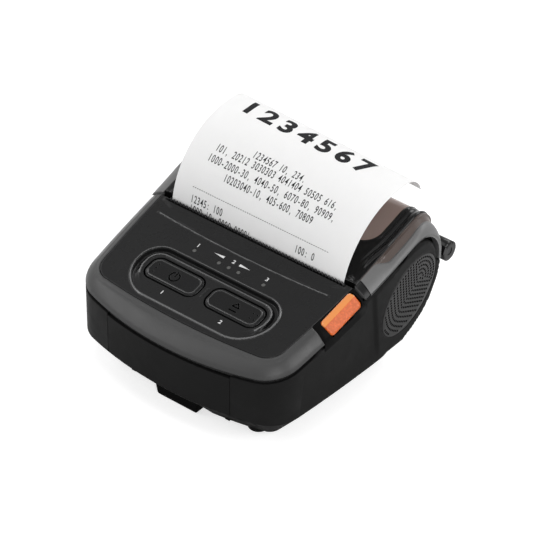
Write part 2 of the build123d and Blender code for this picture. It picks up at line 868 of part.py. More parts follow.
def roll_core():
    """Tube that the paper is wound on."""
    return disc(bucket_y, roll_z, core_radius - 0.02, -paper_half, paper_half) - disc(
        bucket_y, roll_z, core_bore, -beyond, beyond
    )


def web_ends():
    """Tangent points of the paper between the platen and the roll."""
    near = platen_radius + paper_thick
    far = roll_radius + 0.2
    gap_y = bucket_y - platen_y
    gap_z = roll_z - platen_z
    lean = atan2(gap_z, gap_y) + acos((far - near) / hypot(gap_y, gap_z))
    start = (platen_y - near * cos(lean), platen_z - near * sin(lean))
    end = (bucket_y - far * cos(lean), roll_z - far * sin(lean))
    return start, end


def paper_web():
    """Paper between the roll and the print line."""
    start, end = web_ends()
    run = (end[0] - start[0], end[1] - start[1])
    length = hypot(*run)
    step = (run[0] / length, run[1] / length)
    side = (step[1] * paper_thick, -step[0] * paper_thick)
    first = (start[0] + 0.5 * step[0], start[1] + 0.5 * step[1])
    last = (end[0] - 1.5 * step[0], end[1] - 1.5 * step[1])
    corners = [first, last, (last[0] + side[0], last[1] + side[1]), (first[0] + side[0], first[1] + side[1])]
    return side_prism(side_polygon(corners), -paper_half, paper_half)


def strip_section(crest_z):
    """Side view of the printed strip for one of its edges."""
    radius = ((crest_y - joint_y) ** 2 + (crest_z - exit_z) ** 2) / (2 * (crest_z - exit_z))
    centre_z = crest_z - radius
    start_z = platen_z - 1.0
    tail_y = crest_y + crest_flat

    def side(inset):
        y = joint_y + inset
        reach = radius - inset
        meet = (y, centre_z + sqrt(reach**2 - (crest_y - y) ** 2))
        half_turn = (degrees(atan2(meet[1] - centre_z, y - crest_y)) + 90) / 2
        over = (crest_y + reach * cos(radians(half_turn)), centre_z + reach * sin(radians(half_turn)))
        crest = (crest_y, crest_z - inset)
        flat = (tail_y, crest_z - inset)
        small = tail_radius - inset
        turn = radians(90 - tail_turn / 2)
        tip = radians(90 - tail_turn)
        centre = (tail_y, crest_z - tail_radius)
        bend = (centre[0] + small * cos(turn), centre[1] + small * sin(turn))
        end = (centre[0] + small * cos(tip), centre[1] + small * sin(tip))
        edges = [
            Line((y, start_z), meet),
            ThreePointArc(meet, over, crest),
            Line(crest, flat),
            ThreePointArc(flat, bend, end),
        ]
        return edges, (y, start_z), end

    outer, outer_start, outer_end = side(-paper_thick / 2)
    inner, inner_start, inner_end = side(paper_thick / 2)
    return make_face(outer + inner + [Line(outer_start, inner_start), Line(outer_end, inner_end)])


def printed_strip():
    """Printed paper from the print line over the cover, higher at its left edge."""
    left = Plane.YZ.offset(-paper_half) * strip_section(crest_z_left)
    right = Plane.YZ.offset(paper_half) * strip_section(crest_z_right)
    return loft([left.face(), right.face()], ruled=True)


def cover_frame():
    """Black cover shell with skirts, platen arms and hinge barrel."""
    top = side_prism(cover_outline(cover_front_y, cover_low_z), -cover_half_width, cover_half_width)
    under_trim = trim_outline(cover_front_y + 0.8, cover_low_z, band_edge + 0.05)
    step = side_prism(under_trim, -skirt_outer, skirt_outer)
    shell = top + step
    inner_half = cover_half_width - cover_wall
    inside = side_prism(cover_outline(cover_front_y + cover_wall, 0, cover_wall), -inner_half, inner_half)
    under_trim = trim_outline(cover_front_y + cover_wall + 0.3, 0, band_edge + cover_wall)
    inside += side_prism(under_trim, -skirt_inner, skirt_inner)
    shell -= inside
    seam_rise = tan(radians(side_seam_slope))
    skirt_low = side_polygon(
        [
            (cover_front_y - 1, 0),
            (36, 0),
            (36, side_seam_z + 36 * seam_rise - skirt_depth - 9),
            (28, side_seam_z + 28 * seam_rise - skirt_depth),
            (cover_front_y - 1, side_seam_z - skirt_depth),
        ]
    )
    shell -= side_prism(skirt_low, -beyond, beyond)
    lip = side_polygon(
        [(-1, 0), (cover_front_y + cover_wall + 0.5, 0), (cover_front_y + cover_wall + 0.5, 45), (-1, 45)]
    )
    shell -= side_prism(lip, -beyond, beyond)
    opening = Pos(0, (window_front_y + beyond) / 2) * RectangleRounded(
        2 * window_half_width, beyond - window_front_y, window_corner
    )
    shell -= extrude(Pos(0, 0, window_low_z) * opening, 40)
    arm = side_polygon([(1.3, 36.8), (7.2, 36.8), (9.5, 51.0), (1.3, 48.5)])
    arm -= Pos(platen_y, platen_z) * Circle(shaft_radius + running_gap)
    arms = side_prism(arm, platen_half_length + 0.25, platen_half_length + 1.25)
    shell += both_sides(arms) & side_prism(cover_outline(cover_front_y, 0, cover_wall - 0.5), -beyond, beyond)
    web = side_polygon([(42.5, cover_low_z), (42.5, 43), (44.2, 43), (hinge_y, 41.7), (46.5, cover_low_z)])
    half = base_barrel_inner - 0.3
    shell += side_prism(web, -half, half) + disc(hinge_y, hinge_z, barrel_radius, -half, half)
    shell -= disc(hinge_y, hinge_z, rod_radius + running_gap, -beyond, beyond)
    gear_reach = gear_module * (platen_teeth / 2 + 1) + 0.3
    return shell - disc(platen_y, platen_z, gear_reach, -gear_outer_x - 0.4, -gear_inner_x + 0.8)


def window():
    """Smoked window that follows the cover's curve."""
    half = window_half_width - fit_gap
    shell = side_prism(cover_outline(cover_front_y, 0), -half, half)
    shell -= side_prism(cover_outline(cover_front_y - 1, -1, window_thick), -beyond, beyond)
    outline = Pos(0, (window_front_y + fit_gap + beyond) / 2) * RectangleRounded(
        2 * half, beyond - window_front_y - fit_gap, window_corner
    )
    return shell & extrude(Pos(0, 0, window_low_z + fit_gap) * outline, 40)


def cover_trim(side):
    """Grey sloping trim along one edge of the cover."""
    inner_x = cover_half_width + 0.1
    start = joint_y + seam
    top = Plane.YZ.offset(inner_x) * cover_outline(start, cover_low_z)
    low = Plane.YZ.offset(half_width - 0.1) * trim_outline(start, cover_low_z)
    solid = loft([top.face(), low.face()], ruled=True)
    solid -= side_prism(trim_outline(start - 1, cover_low_z - 1, band_edge), inner_x - 1, beyond)
    solid = solid & plan_prism(0.05, 0.05, 0, tall)
    if side < 0:
        solid = mirror(solid, about=Plane.YZ)
    return solid


def belt_clip():
    """Spring-loaded belt clip with a turned-up lip at the front."""
    low = clip_low_z
    top = low + clip_thick
    outline = side_polygon(
        [
            (clip_front_y + 0.8, low),
            (clip_pin_y, low),
            (clip_pin_y, top),
            (clip_front_y + 4.5, top),
            (clip_front_y + 3.0, clip_lip_z),
            (clip_front_y + 0.3, clip_lip_z),
            (clip_front_y, low + 1.2),
        ]
    )
    plate = side_prism(outline, -clip_half_width, clip_half_width)
    plate += disc(clip_pin_y, clip_pin_z, clip_knuckle, -clip_half_width, clip_half_width)
    taper = [
        (-clip_half_width - 1, 20),
        (-clip_half_width + 0.2, clip_lip_z),
        (-clip_half_width + 2.0, low - 1),
        (clip_half_width - 2.0, low - 1),
        (clip_half_width - 0.2, clip_lip_z),
        (clip_half_width + 1, 20),
    ]
    nose = extrude(front_plane(clip_front_y + 8) * side_polygon(taper), 20)
    rest = box((-beyond, beyond), (clip_front_y + 7, beyond), (-5, 30))
    plate = (plate & (nose + rest)).solids().sort_by(SortBy.VOLUME)[-1]
    return plate - disc(clip_pin_y, clip_pin_z, clip_pin_radius + running_gap, -beyond, beyond)


def clip_spring():
    """Leaf spring from the roof of the slot to the clip's tail."""
    points = [
        (-12.0, slot_roof_z - 0.02),
        (-4.0, slot_roof_z - 0.02),
        (clip_pin_y, clip_pin_z + clip_knuckle + 0.7),
        (clip_pin_y, clip_pin_z + clip_knuckle + 0.25),
        (-4.4, slot_roof_z - 0.5),
        (-12.0, slot_roof_z - 0.5),
    ]
    return side_prism(side_polygon(points), -4, 4)


def feet():
    """Four rubber feet."""
    solids = []
    for x, y in foot_places:
        for side in (1, -1):
            foot = Pos(side * x, y, 0) * Cylinder(foot_radius, belly_z, align=standing)
            low = foot.edges().sort_by(Axis.Z)[:1]
            solids += fillet(low, 0.5).solids()
    return Compound(children=solids)


def case_screws():
    """Four screws from the belly into the posts of the upper case."""
    solids = []
    for x, y in screw_places:
        for side in (1, -1):
            place = Pos(side * x, y, belly_z + 0.9)
            head = place * Cylinder(screw_head_radius, 2.0, align=standing)
            head -= place * (Box(3.2, 0.8, 1.6) + Box(0.8, 3.2, 1.6))
            shank = Pos(side * x, y, belly_z + 2.8) * Cylinder(screw_radius, 21, align=standing)
            solids += (head + shank).solids()
    return Compound(children=solids)


def port_plane():
    """Plane on the left side, along the chord of the wall, with its normal outwards and Y up."""
    front = Vector(-side_x(port_front_y), port_front_y, port_low_z)
    rear = Vector(-side_x(port_rear_y), port_rear_y, port_low_z)
    forward = (front - rear).normalized()
    return Plane(origin=(front + rear) * 0.5, x_dir=forward, z_dir=forward.cross(Vector(0, 0, 1)))


def port_outline(gap):
    """Outline of the socket opening, along the wall and up."""
    length = port_rear_y - port_front_y + 2 * gap
    height = port_top_z - port_low_z
    return Pos(0, height / 2) * RectangleRounded(length, height + 2 * gap, 1.2 + gap)


def port_opening():
    """Hole in the left wall behind the flap."""
    return extrude(port_plane().offset(-6) * port_outline(0.25), 12)


def port_flap():
    """Rubber flap over the sockets."""
    return extrude(port_plane().offset(-flap_thick) * port_outline(0.0), flap_thick + 0.2)


def charging_socket():
    """Coaxial power socket on the left."""
    block = box((-45.0, -38.2), (-34.5, -26.5), (18.4, 26.6))
    block -= Pos(-45, -30.5, 22.5) * Rot(0, 90, 0) * Cylinder(2.9, 12)
    return block + Pos(-41.5, -30.5, 22.5) * Rot(0, 90, 0) * Cylinder(0.8, 6)


def data_socket():
    """Small data socket on the left."""
    shell = box((-45.4, -38.5), (-24.6, -16.6), (18.4, 21.8))
    shell -= box((-50, -40), (-24.1, -17.1), (18.9, 21.3))
    return shell + box((-44.8, -39.5), (-23, -18.2), (19.7, 20.4))


def socket_board():
    """Small circuit board under the two sockets."""
    return box((-45.2, -38.0), (-35.2, -15.8), (17.2, 18.4))


def latch_lever():
    """Lever that the release button turns."""
    points = [
        (-12.0, 38.1),
        (-7.5, 38.1),
        (-3.4, 34.5),
        (-1.8, 34.5),
        (-1.8, 39.6),
        (0.7, 39.6),
        (0.7, 38.7),
        (0.2, 37.9),
        (0.2, 33.5),
        (3.0, 30.0),
        (0.5, 27.4),
        (-2.2, 28.6),
        (-8.5, 34.8),
        (-12.0, 36.2),
    ]
    plate = side_prism(side_polygon(points), lever_inner_x, lever_outer_x)
    return plate - disc(lever_pin_y, lever_pin_z, 1.2 + running_gap, 0, beyond)


def latch_pin():
    """Pin that the lever turns on, in the right cheek."""
    return disc(lever_pin_y, lever_pin_z, 1.2, cheek_inner, lever_outer_x + 2.1)


def feed_motor():
    """Motor can with a bore for its shaft."""
    can = disc(pinion_y, pinion_z, motor_radius, -motor_outer_x, -motor_inner_x)
    return can - disc(pinion_y, pinion_z, motor_shaft_radius + running_gap, -beyond, -motor_bore_x + 0.3)


def motor_shaft():
    """Shaft of the motor, out to the pinion."""
    return disc(pinion_y, pinion_z, motor_shaft_radius, -gear_outer_x - 0.5, -motor_bore_x)


def idler_turn():
    """Angle of one tooth of the idler, half a pitch from the platen gear's."""
    return 90 - idler_lean + 180 / idler_teeth


def motor_pinion():
    """Pinion turned so that its teeth sit in the idler's gaps."""
    contact = 270 - pinion_lean
    phase = ((contact - idler_turn()) * idler_teeth / 360) % 1
    turn = contact - 180 - (0.5 - phase) * 360 / pinion_teeth
    return gear_solid(pinion_y, pinion_z, pinion_teeth, motor_shaft_radius, turn)


def idler_gear():
    """Gear between the pinion and the platen."""
    return gear_solid(idler_y, idler_z, idler_teeth, shaft_radius + running_gap, idler_turn())


def platen_roller():
    """Rubber sleeve of the platen."""
    sleeve = disc(platen_y, platen_z, platen_radius, -platen_half_length, platen_half_length)
    return sleeve - disc(platen_y, platen_z, shaft_radius, -beyond, beyond)


def platen_bushes():
    """Two bushes that drop into the notches of the frame."""
    bush = disc(platen_y, platen_z, bush_radius, cheek_inner - 0.1, cheek_outer + 0.1)
    bush -= disc(platen_y, platen_z, shaft_radius + running_gap, 0, beyond)
    return Compound(children=list(both_sides(bush).solids()))


def front_trim():
    """Grey band without the stretch that the latch bezel fills."""
    return grey_band() - box((20, beyond), (bezel_front_y - 0.2, 10), (0, tall))


def export(name, shape):
    """Write one sub-part, as a single solid or a group of solids."""
    solids = shape.solids()
    body = solids[0] if len(solids) == 1 else Compound(children=list(solids))
    export_step(body, f"parts/{name}.step")
    print(name, len(solids), round(sum(solid.volume for solid in solids), 2))


pin_reach = slot_half_width + 1.5
rod_reach = base_barrel_outer - 0.2

export("lower_case", lower_case())
export("upper_case", upper_case())
export("front_trim", front_trim())
export("latch_bezel", bezel())
export("latch_button", latch_button())
export("latch_lever", latch_lever())
export("latch_pin", latch_pin())
export("latch_spring", latch_spring())
export("tear_bar", tear_bar())
export("power_button", key(-key_x))
export("feed_button", key(key_x))
export("key_switches", switches())
export("indicator_lights", lamps())
export("main_board", main_board())
export("shield_can", board_piece(-14, -23, 14, 8, 1.8))
export("buzzer", buzzer())
export("side_grille_right", grille_plate(1))
export("side_grille_left", grille_plate(-1))
export("battery_pack", battery_pack())
export("battery_front", battery_front())
export("battery_bay", battery_bay())
export("battery_terminals", battery_terminals())
export("mechanism_frame", mechanism_frame())
export("head_plate", head_plate())
export("thermal_head", thermal_head())
export("head_pin", disc(head_pivot_y, head_pivot_z, shaft_radius, -cheek_outer, cheek_outer))
export("head_springs", head_springs())
export("feed_motor", feed_motor())
export("motor_shaft", motor_shaft())
export("motor_pinion", motor_pinion())
export("idler_gear", idler_gear())
export("idler_stud", disc(idler_y, idler_z, shaft_radius, -gear_outer_x - 0.6, -cheek_inner))
export("platen_roller", platen_roller())
export("platen_shaft", disc(platen_y, platen_z, shaft_radius, -gear_outer_x - 0.1, cheek_outer + 0.2))
export("platen_gear", gear_solid(platen_y, platen_z, platen_teeth, shaft_radius, 270 - idler_lean))
export("platen_bushes", platen_bushes())
export("roll_bucket", roll_bucket())
export("paper_sensor", paper_sensor())
export("paper_roll", paper_roll())
export("roll_core", roll_core())
export("paper_web", paper_web())
export("printed_strip", printed_strip())
export("cover_frame", cover_frame())
export("cover_window", window())
export("cover_trim_right", cover_trim(1))
export("cover_trim_left", cover_trim(-1))
export("hinge_rod", disc(hinge_y, hinge_z, rod_radius, -rod_reach, rod_reach))
export("belt_clip", belt_clip())
export("belt_clip_pin", disc(clip_pin_y, clip_pin_z, clip_pin_radius, -pin_reach, pin_reach))
export("belt_clip_spring", clip_spring())
export("feet", feet())
export("case_screws", case_screws())
export("port_flap", port_flap())
export("charging_socket", charging_socket())
export("data_socket", data_socket())
export("socket_board", socket_board())
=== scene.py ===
import json
from math import atan2, cos, hypot, pi, radians, sin, sqrt, tan

import bmesh
import bpy
from mathutils import Matrix, Vector
from mathutils.bvhtree import BVHTree
from mathutils.geometry import delaunay_2d_cdt
from mathutils.kdtree import KDTree

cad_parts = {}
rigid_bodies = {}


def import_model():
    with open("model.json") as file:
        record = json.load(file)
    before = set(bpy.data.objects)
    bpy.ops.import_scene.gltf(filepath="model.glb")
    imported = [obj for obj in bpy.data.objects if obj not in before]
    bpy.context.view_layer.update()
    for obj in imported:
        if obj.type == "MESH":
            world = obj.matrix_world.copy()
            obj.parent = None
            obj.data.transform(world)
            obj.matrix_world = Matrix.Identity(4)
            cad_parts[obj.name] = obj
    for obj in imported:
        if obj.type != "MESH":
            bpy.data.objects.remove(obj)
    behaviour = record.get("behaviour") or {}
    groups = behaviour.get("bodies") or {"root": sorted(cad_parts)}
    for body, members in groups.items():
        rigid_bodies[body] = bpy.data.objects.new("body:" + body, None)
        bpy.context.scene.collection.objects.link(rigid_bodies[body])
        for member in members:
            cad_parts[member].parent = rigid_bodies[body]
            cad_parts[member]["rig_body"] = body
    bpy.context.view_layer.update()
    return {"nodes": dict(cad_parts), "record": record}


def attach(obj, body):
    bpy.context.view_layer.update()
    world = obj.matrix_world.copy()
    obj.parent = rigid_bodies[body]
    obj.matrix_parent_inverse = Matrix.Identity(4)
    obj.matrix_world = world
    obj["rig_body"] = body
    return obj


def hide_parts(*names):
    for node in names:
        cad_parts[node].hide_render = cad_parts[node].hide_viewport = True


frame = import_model()

# Portable receipt printer. The construction comes from the frame, and the looks are built here.
# X is across the paper, -Y is the front and +Z is up, as in the frame. Lengths are in millimetres, and
# cad_mesh and add_piece turn the frame's metres into them and back. Only the stage is in metres.
mm = 0.001
far_off = 1000.0
across_x = Vector((1, 0, 0))

# Camera, at the photo's angle
camera_place = Vector((577.8, -715.8, 740.8)) * mm
camera_back = Vector((0.49628, -0.61944, 0.60827))
camera_right = Vector((0.77801, 0.62823, 0.00499))
camera_lens = 215.6

# Body, as the frame has it
half_width = 50.4
side_bow = 650.0
side_bow_y = 21.0
crease_z = 13.0
drum_y = 16.2
drum_z = 41.3
drum_radius = 28.3
joint_y = -0.3
deck_joint_z = 48.5
deck_slope = radians(12.24)
band_drop = 5.2
deck_along = Vector((0, cos(deck_slope), sin(deck_slope)))
deck_up = Vector((0, -sin(deck_slope), cos(deck_slope)))

# The side wall is dished in ahead of its leaning crease, and flat again near the front
wall_crease_y = 5.5
wall_crease_lean = 0.093
wall_top = 42
dish_depth = 0.75
dish_start_y = -34
dish_end_y = -28
wall_edge = 1.1

# Control deck. Rounded boxes are half length, half width and corner radius.
deck_spacing = 0.28
key_spacing = 0.15
deck_edge = 0.45
key_x = 14.05
key_y = -29.8
key_box = (11.9, 5.0, 3.7)
sign_depth = 0.3
pit_radius = 0.42
moat_half_length = 31.2
moat_half_width = 11.4
moat_shift = -1.5
moat_rear_corner = 8.5
moat_front_corner = 13.5
plateau = -0.3
ridge_height = 0.55
inner_ridge_height = 0.5
inner_ridge_gap = 3.15
ridge_half = 0.75
# Half width of the ridge crests that get a painted highlight
crest_highlight_half = 0.28
mark_box = (0.42, 2.4, 0.3)
lamp_y = -16.3
lamp_places = (-16.0, -4.5, 0.0, 4.5, 16.0)
lamp_clear = 1.5

# Crescent step behind the lamps: a bowed front line with a bead, and a straight rear line
step_front_y = -9.45
step_bow = 0.0009
step_rear_y = -8.15
step_bead_gap = 0.45
step_bead_half = 0.55
step_depth = 0.4
step_bead_reach = 1.2
step_half = 40

# Latch button on the slope of the band
latch_out = Vector((0.646303, -0.161779, 0.745734))
latch_along = Vector((0.0, 0.97728, 0.21201))
latch_corner = 1.6
latch_fold = 1.1

# Paper. Travel runs from 0 at the print line to 1 at the tip, past the tear bar, the crest and a flat.
paper_half = 39.75
paper_thick = 0.12
exit_z = 48.3
crest_y = 31.0
crest_left = 75.0
crest_right = 71.0
crest_flat = 4.0
tail_radius = 9.8
tail_turn = radians(75)
strip_start_z = 38.5
exit_travel = 0.12
crest_travel = 0.72
tail_travel = 0.78

# Cover
window_half = 38.3
window_front = 17.0
window_corner = 7.0
cover_half = 44.4
cover_low = 38.4
trim_inner = 44.5
trim_outer = 50.3
trim_edge = 0.6
# Share of the slope that the trim's black front end takes
trim_front = 0.085
# Side views of the cover and of its trim's outer edge: height at the joint, slope, radius and rear
cover_line = (48.7, radians(16), 8.0, 44.3)
trim_line = (44.98, radians(15.9), 12.5, 44.1)
seam_line = (44.98, radians(15.9), 11.75, 42.65)

# Hinge barrel
hinge_y = 49.3
hinge_z = 38.0
barrel_radius = 3.9
barrel_inner_x = 41

# Oval grille on each side disc
grille_y = 24.9
grille_z = 32.5
grille_tilt = radians(35)
grille_half_long = 17.0
grille_half_wide = 11.8
grille_thick = 1.0
grille_gap = 0.1
dot_radius = 0.47
dot_depth = 0.7
dot_pitch = 1.22
row_pitch = 1.58
# Lean of the straight rows, half the turn of the arcs, and where the arcs' centre lies along the oval
row_lean = radians(29)
arc_turn = radians(119)
arc_centre = 7.3


def share_between(low, high, value):
    """How far a value is on its way from low to high."""
    return (value - low) / (high - low)


def smooth_step(low, high, value):
    """0 before low, 1 after high, and a smooth rise between."""
    share = min(1.0, max(0.0, share_between(low, high, value)))
    return share * share * (3 - 2 * share)


def hump(value, width):
    """Rounded bump, 1 in the middle and 0 beyond its half width."""
    share = min(1.0, abs(value) / width)
    return (1 - share * share) ** 2


def mix(first, second, share):
    """Value or vector between two others."""
    return first * (1 - share) + second * share


def span(values):
    """Middle and half length of a range of values."""
    return (max(values) + min(values)) / 2, (max(values) - min(values)) / 2


def rounding(distance, radius):
    """How far a rounded edge lies below its sharp corner."""
    gap = radius - min(max(distance, 0.0), radius)
    return radius - sqrt(max(radius * radius - gap * gap, 0.0))


def box_distance(x, y, half_x, half_y, radius):
    """Distance outside a rounded rectangle, negative inside."""
    over_x = abs(x) - half_x + radius
    over_y = abs(y) - half_y + radius
    return hypot(max(over_x, 0), max(over_y, 0)) + min(max(over_x, over_y), 0) - radius


def side_x(y):
    """Half width of the body at a place along its length."""
    back = min(y - side_bow_y, 0.0)
    return half_width - side_bow + sqrt(side_bow**2 - back**2)


def deck_z(y):
    """Height of the deck surface."""
    return deck_joint_z + (y - joint_y) * tan(deck_slope)


deck_centre = Vector((0, key_y, deck_z(key_y)))


def point_tree(points):
    """Search tree over points."""
    tree = KDTree(max(len(points), 1))
    for number, point in enumerate(points):
        tree.insert(point, number)
    tree.balance()
    return tree


def cad_mesh(node):
    """Editable copy of a frame node with its split corners joined."""
    bm = bmesh.new()
    bm.from_mesh(frame["nodes"][node].data)
    bm.transform(Matrix.Scale(1 / mm, 4))
    bmesh.ops.remove_doubles(bm, verts=bm.verts, dist=0.002)
    bm.normal_update()
    return bm


def pick(bm, test):
    """Faces whose middle and normal pass a test."""
    return [face for face in bm.faces if test(face.calc_center_median(), face.normal)]


def facing(bm, up, origin, least, low, high=far_off):
    """Faces that look up along a direction, with their middle between two heights over an origin."""
    return pick(bm, lambda middle, normal: normal.dot(up) > least and low < (middle - origin).dot(up) < high)


def paint(bm, index, test):
    """Give a material to the faces that pass a test."""
    for face in pick(bm, test):
        face.material_index = index


def regrid(bm, faces, up, spacing, along=across_x):
    """Replace faces that look one way by an even net with the same border."""
    chosen = set(faces)
    up = up.normalized()
    first = (along - up * along.dot(up)).normalized()
    second = up.cross(first)
    corners = list({vert for face in faces for vert in face.verts})
    index = {vert: number for number, vert in enumerate(corners)}
    polygons = [[index[vert] for vert in face.verts] for face in faces]
    surface = BVHTree.FromPolygons([vert.co.copy() for vert in corners], polygons)
    border = []
    for face in faces:
        border += [edge for edge in face.edges if sum(other in chosen for other in edge.link_faces) == 1]
    rim = list({vert for edge in border for vert in edge.verts})
    number_of = {vert: number for number, vert in enumerate(rim)}
    top = max(vert.co.dot(up) for vert in corners) + 10

    def flat(place):
        return Vector((place.dot(first), place.dot(second))) / spacing

    def drop(point):
        start = (first * point[0] + second * point[1]) * spacing + up * top
        return surface.ray_cast(start, -up)[0]

    # In the net's own units, in which the spacing is 1
    sample_step, border_gap, row_height = 0.5, 0.6, sqrt(0.75)
    samples = []
    for edge in border:
        start, end = (flat(vert.co) for vert in edge.verts)
        count = int((end - start).length / sample_step) + 1
        samples += [start.lerp(end, step / count).to_3d() for step in range(count + 1)]
    near = point_tree(samples)
    points = [flat(vert.co) for vert in rim]
    places = {}
    low = [min(point[axis] for point in points) for axis in (0, 1)]
    high = [max(point[axis] for point in points) for axis in (0, 1)]
    for row in range(int((high[1] - low[1]) / row_height) + 1):
        for column in range(int(high[0] - low[0]) + 1):
            point = Vector((low[0] + column + 0.5 * (row % 2), low[1] + (row + 0.5) * row_height))
            place = drop(point) if near.find(point.to_3d())[2] >= border_gap else None
            if place is not None:
                places[len(points)] = place
                points.append(point)
    edges = [[number_of[vert] for vert in edge.verts] for edge in border]
    coords, _, triangles, sources, _, _ = delaunay_2d_cdt(points, edges, [], 0, 1e-7)
    bmesh.ops.delete(bm, geom=faces, context="FACES")
    net = []
    for coord, source in zip(coords, sources):
        rims = [number for number in source if number < len(rim)]
        inner = [number for number in source if number in places]
        if rims:
            net.append(rim[rims[0]])
        else:
            place = places[inner[0]] if inner else drop(coord)
            net.append(bm.verts.new(place) if place is not None else None)
    made = []
    for triangle in triangles:
        middle = sum((coords[number] for number in triangle), Vector((0, 0))) / 3
        verts = [net[number] for number in triangle]
        if None in verts or len(set(verts)) < 3 or drop(middle) is None:
            continue
        side = (verts[1].co - verts[0].co).cross(verts[2].co - verts[0].co)
        if side.dot(up) < 0:
            verts.reverse()
        if bm.faces.get(verts) is None:
            made.append(bm.faces.new(verts))
    bm.verts.index_update()
    return list({vert for face in made for vert in face.verts}), rim


def distance_to(verts):
    """Function giving the distance to some corners and the sharp edges between them."""
    flat_angle, step = 0.05, 0.1
    chosen = set(verts)
    places = [vert.co.copy() for vert in verts]
    for vert in verts:
        for edge in vert.link_edges:
            other = edge.other_vert(vert)
            if other not in chosen or len(edge.link_faces) != 2 or edge.calc_face_angle(0) < flat_angle:
                continue
            count = int((other.co - vert.co).length / step) + 1
            places += [vert.co.lerp(other.co, number / count) for number in range(1, count)]
    tree = point_tree(places)
    return lambda place: tree.find(place)[2] if places else far_off


def add_piece(name, bm, body, material, replaces=(), crease=32):
    """Turn a finished mesh into a piece that rides on a body."""
    bm.transform(Matrix.Scale(mm, 4))
    bm.normal_update()
    mesh = bpy.data.meshes.new(name)
    bm.to_mesh(mesh)
    bm.free()
    for polygon in mesh.polygons:
        polygon.use_smooth = True
    mesh.set_sharp_from_angle(angle=radians(crease))
    for item in material if isinstance(material, list) else [material]:
        mesh.materials.append(item)
    piece = bpy.data.objects.new(name, mesh)
    bpy.context.scene.collection.objects.link(piece)
    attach(piece, body)
    if replaces:
        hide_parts(*replaces)


# Materials


class Nodes:
    """Short names for building one node material."""

    def __init__(self, name):
        self.material = bpy.data.materials.new(name)
        self.material.use_nodes = True
        self.tree = self.material.node_tree
        self.shader = self.tree.nodes["Principled BSDF"]
        self.place = self.add("ShaderNodeTexCoord").outputs["Object"]

    def add(self, kind, values=None, links=None, **settings):
        """Node with its settings, socket values and links."""
        node = self.tree.nodes.new(kind)
        for key, value in settings.items():
            setattr(node, key, value)
        for key, value in (values or {}).items():
            node.inputs[key].default_value = value
        for key, link in (links or {}).items():
            self.tree.links.new(link, node.inputs[key])
        return node

    def stretched(self, scale):
        """Coordinates scaled along each axis."""
        return self.add("ShaderNodeMapping", {"Scale": scale}, {"Vector": self.place}).outputs[0]

    def noise(self, scale, detail=3.0, rough=0.55, place=None):
        values = {"Scale": scale, "Detail": detail, "Roughness": rough}
        return self.add("ShaderNodeTexNoise", values, {"Vector": place or self.place}).outputs["Fac"]

    def ramp(self, factor, low, high):
        """Factor mapped between two numbers."""
        values = {"From Min": 0.3, "From Max": 0.7, "To Min": low, "To Max": high}
        return self.add("ShaderNodeMapRange", values, {"Value": factor}).outputs[0]

    def tint(self, factor, color, spread):
        """A colour that varies a little about its middle."""
        values = {
            "A": (*[part * (1 - spread) for part in color], 1),
            "B": (*[min(part * (1 + spread), 1) for part in color], 1),
        }
        return self.add("ShaderNodeMix", values, {"Factor": factor}, data_type="RGBA").outputs["Result"]

    def bump(self, height, strength, depth, normal=None):
        links = {"Height": height}
        if normal is not None:
            links["Normal"] = normal
        values = {"Strength": strength, "Distance": depth * mm}
        return self.add("ShaderNodeBump", values, links).outputs[0]

    def soft_edges(self, radius):
        return self.add("ShaderNodeBevel", {"Radius": radius * mm}, samples=4).outputs[0]

    def shade(self, color, rough, normal=None, values=None):
        """Join or set the shader's sockets, and return the material."""
        sockets = {"Base Color": color, "Roughness": rough, "Normal": normal, **(values or {})}
        for name, value in sockets.items():
            if isinstance(value, bpy.types.NodeSocket):
                self.tree.links.new(value, self.shader.inputs[name])
            elif value is not None:
                self.shader.inputs[name].default_value = value
        return self.material


def plastic(name, color, rough, grain=0.12, grain_scale=2600, edge=0.25, spread=0.08, specular=0.5):
    """Moulded plastic with a fine texture, slight mottling and softened edges."""
    nodes = Nodes(name)
    base = nodes.tint(nodes.noise(45, 4), color, spread)
    gloss = nodes.ramp(nodes.noise(160, 5), rough * 0.88, rough * 1.12)
    soft = nodes.soft_edges(edge) if edge else None
    normal = nodes.bump(nodes.noise(grain_scale, 2, 0.7), grain, 0.05, soft)
    return nodes.shade(base, gloss, normal, {"Specular IOR Level": specular})


def mottled(name, color, rough):
    """Spark-textured plastic, darker and rougher where its bump is low: painted shade in the pits."""
    nodes = Nodes(name)
    pits = nodes.noise(1100, 3, 0.6)
    base = nodes.tint(nodes.ramp(pits, -0.6, 1.0), color, 0.18)
    gloss = nodes.ramp(pits, rough * 1.2, rough * 0.85)
    normal = nodes.bump(pits, 0.4, 0.06, nodes.soft_edges(0.25))
    return nodes.shade(base, gloss, normal, {"Specular IOR Level": 0.35})


def rubbery(name, color, rough):
    """Soft rubber with a dull, slightly dusty surface."""
    nodes = Nodes(name)
    dust = nodes.noise(300, 6, 0.65)
    gloss = nodes.ramp(dust, rough * 0.9, rough * 1.1)
    normal = nodes.bump(nodes.noise(1800, 3), 0.18, 0.04, nodes.soft_edges(0.3))
    values = {"Sheen Weight": 0.02, "Sheen Roughness": 0.5, "Specular IOR Level": 0.1}
    return nodes.shade(nodes.tint(dust, color, 0.18), gloss, normal, values)


def metal(name, color, rough, stretch=(20, 900, 900), edge=0.12):
    """Drawn or brushed metal, with its lines along one axis."""
    nodes = Nodes(name)
    lines = nodes.noise(1.6, 4, 0.6, nodes.stretched(stretch))
    gloss = nodes.ramp(lines, rough * 0.75, rough * 1.25)
    normal = nodes.bump(lines, 0.15, 0.02, nodes.soft_edges(edge))
    return nodes.shade(nodes.tint(lines, color, 0.12), gloss, normal, {"Metallic": 1.0})


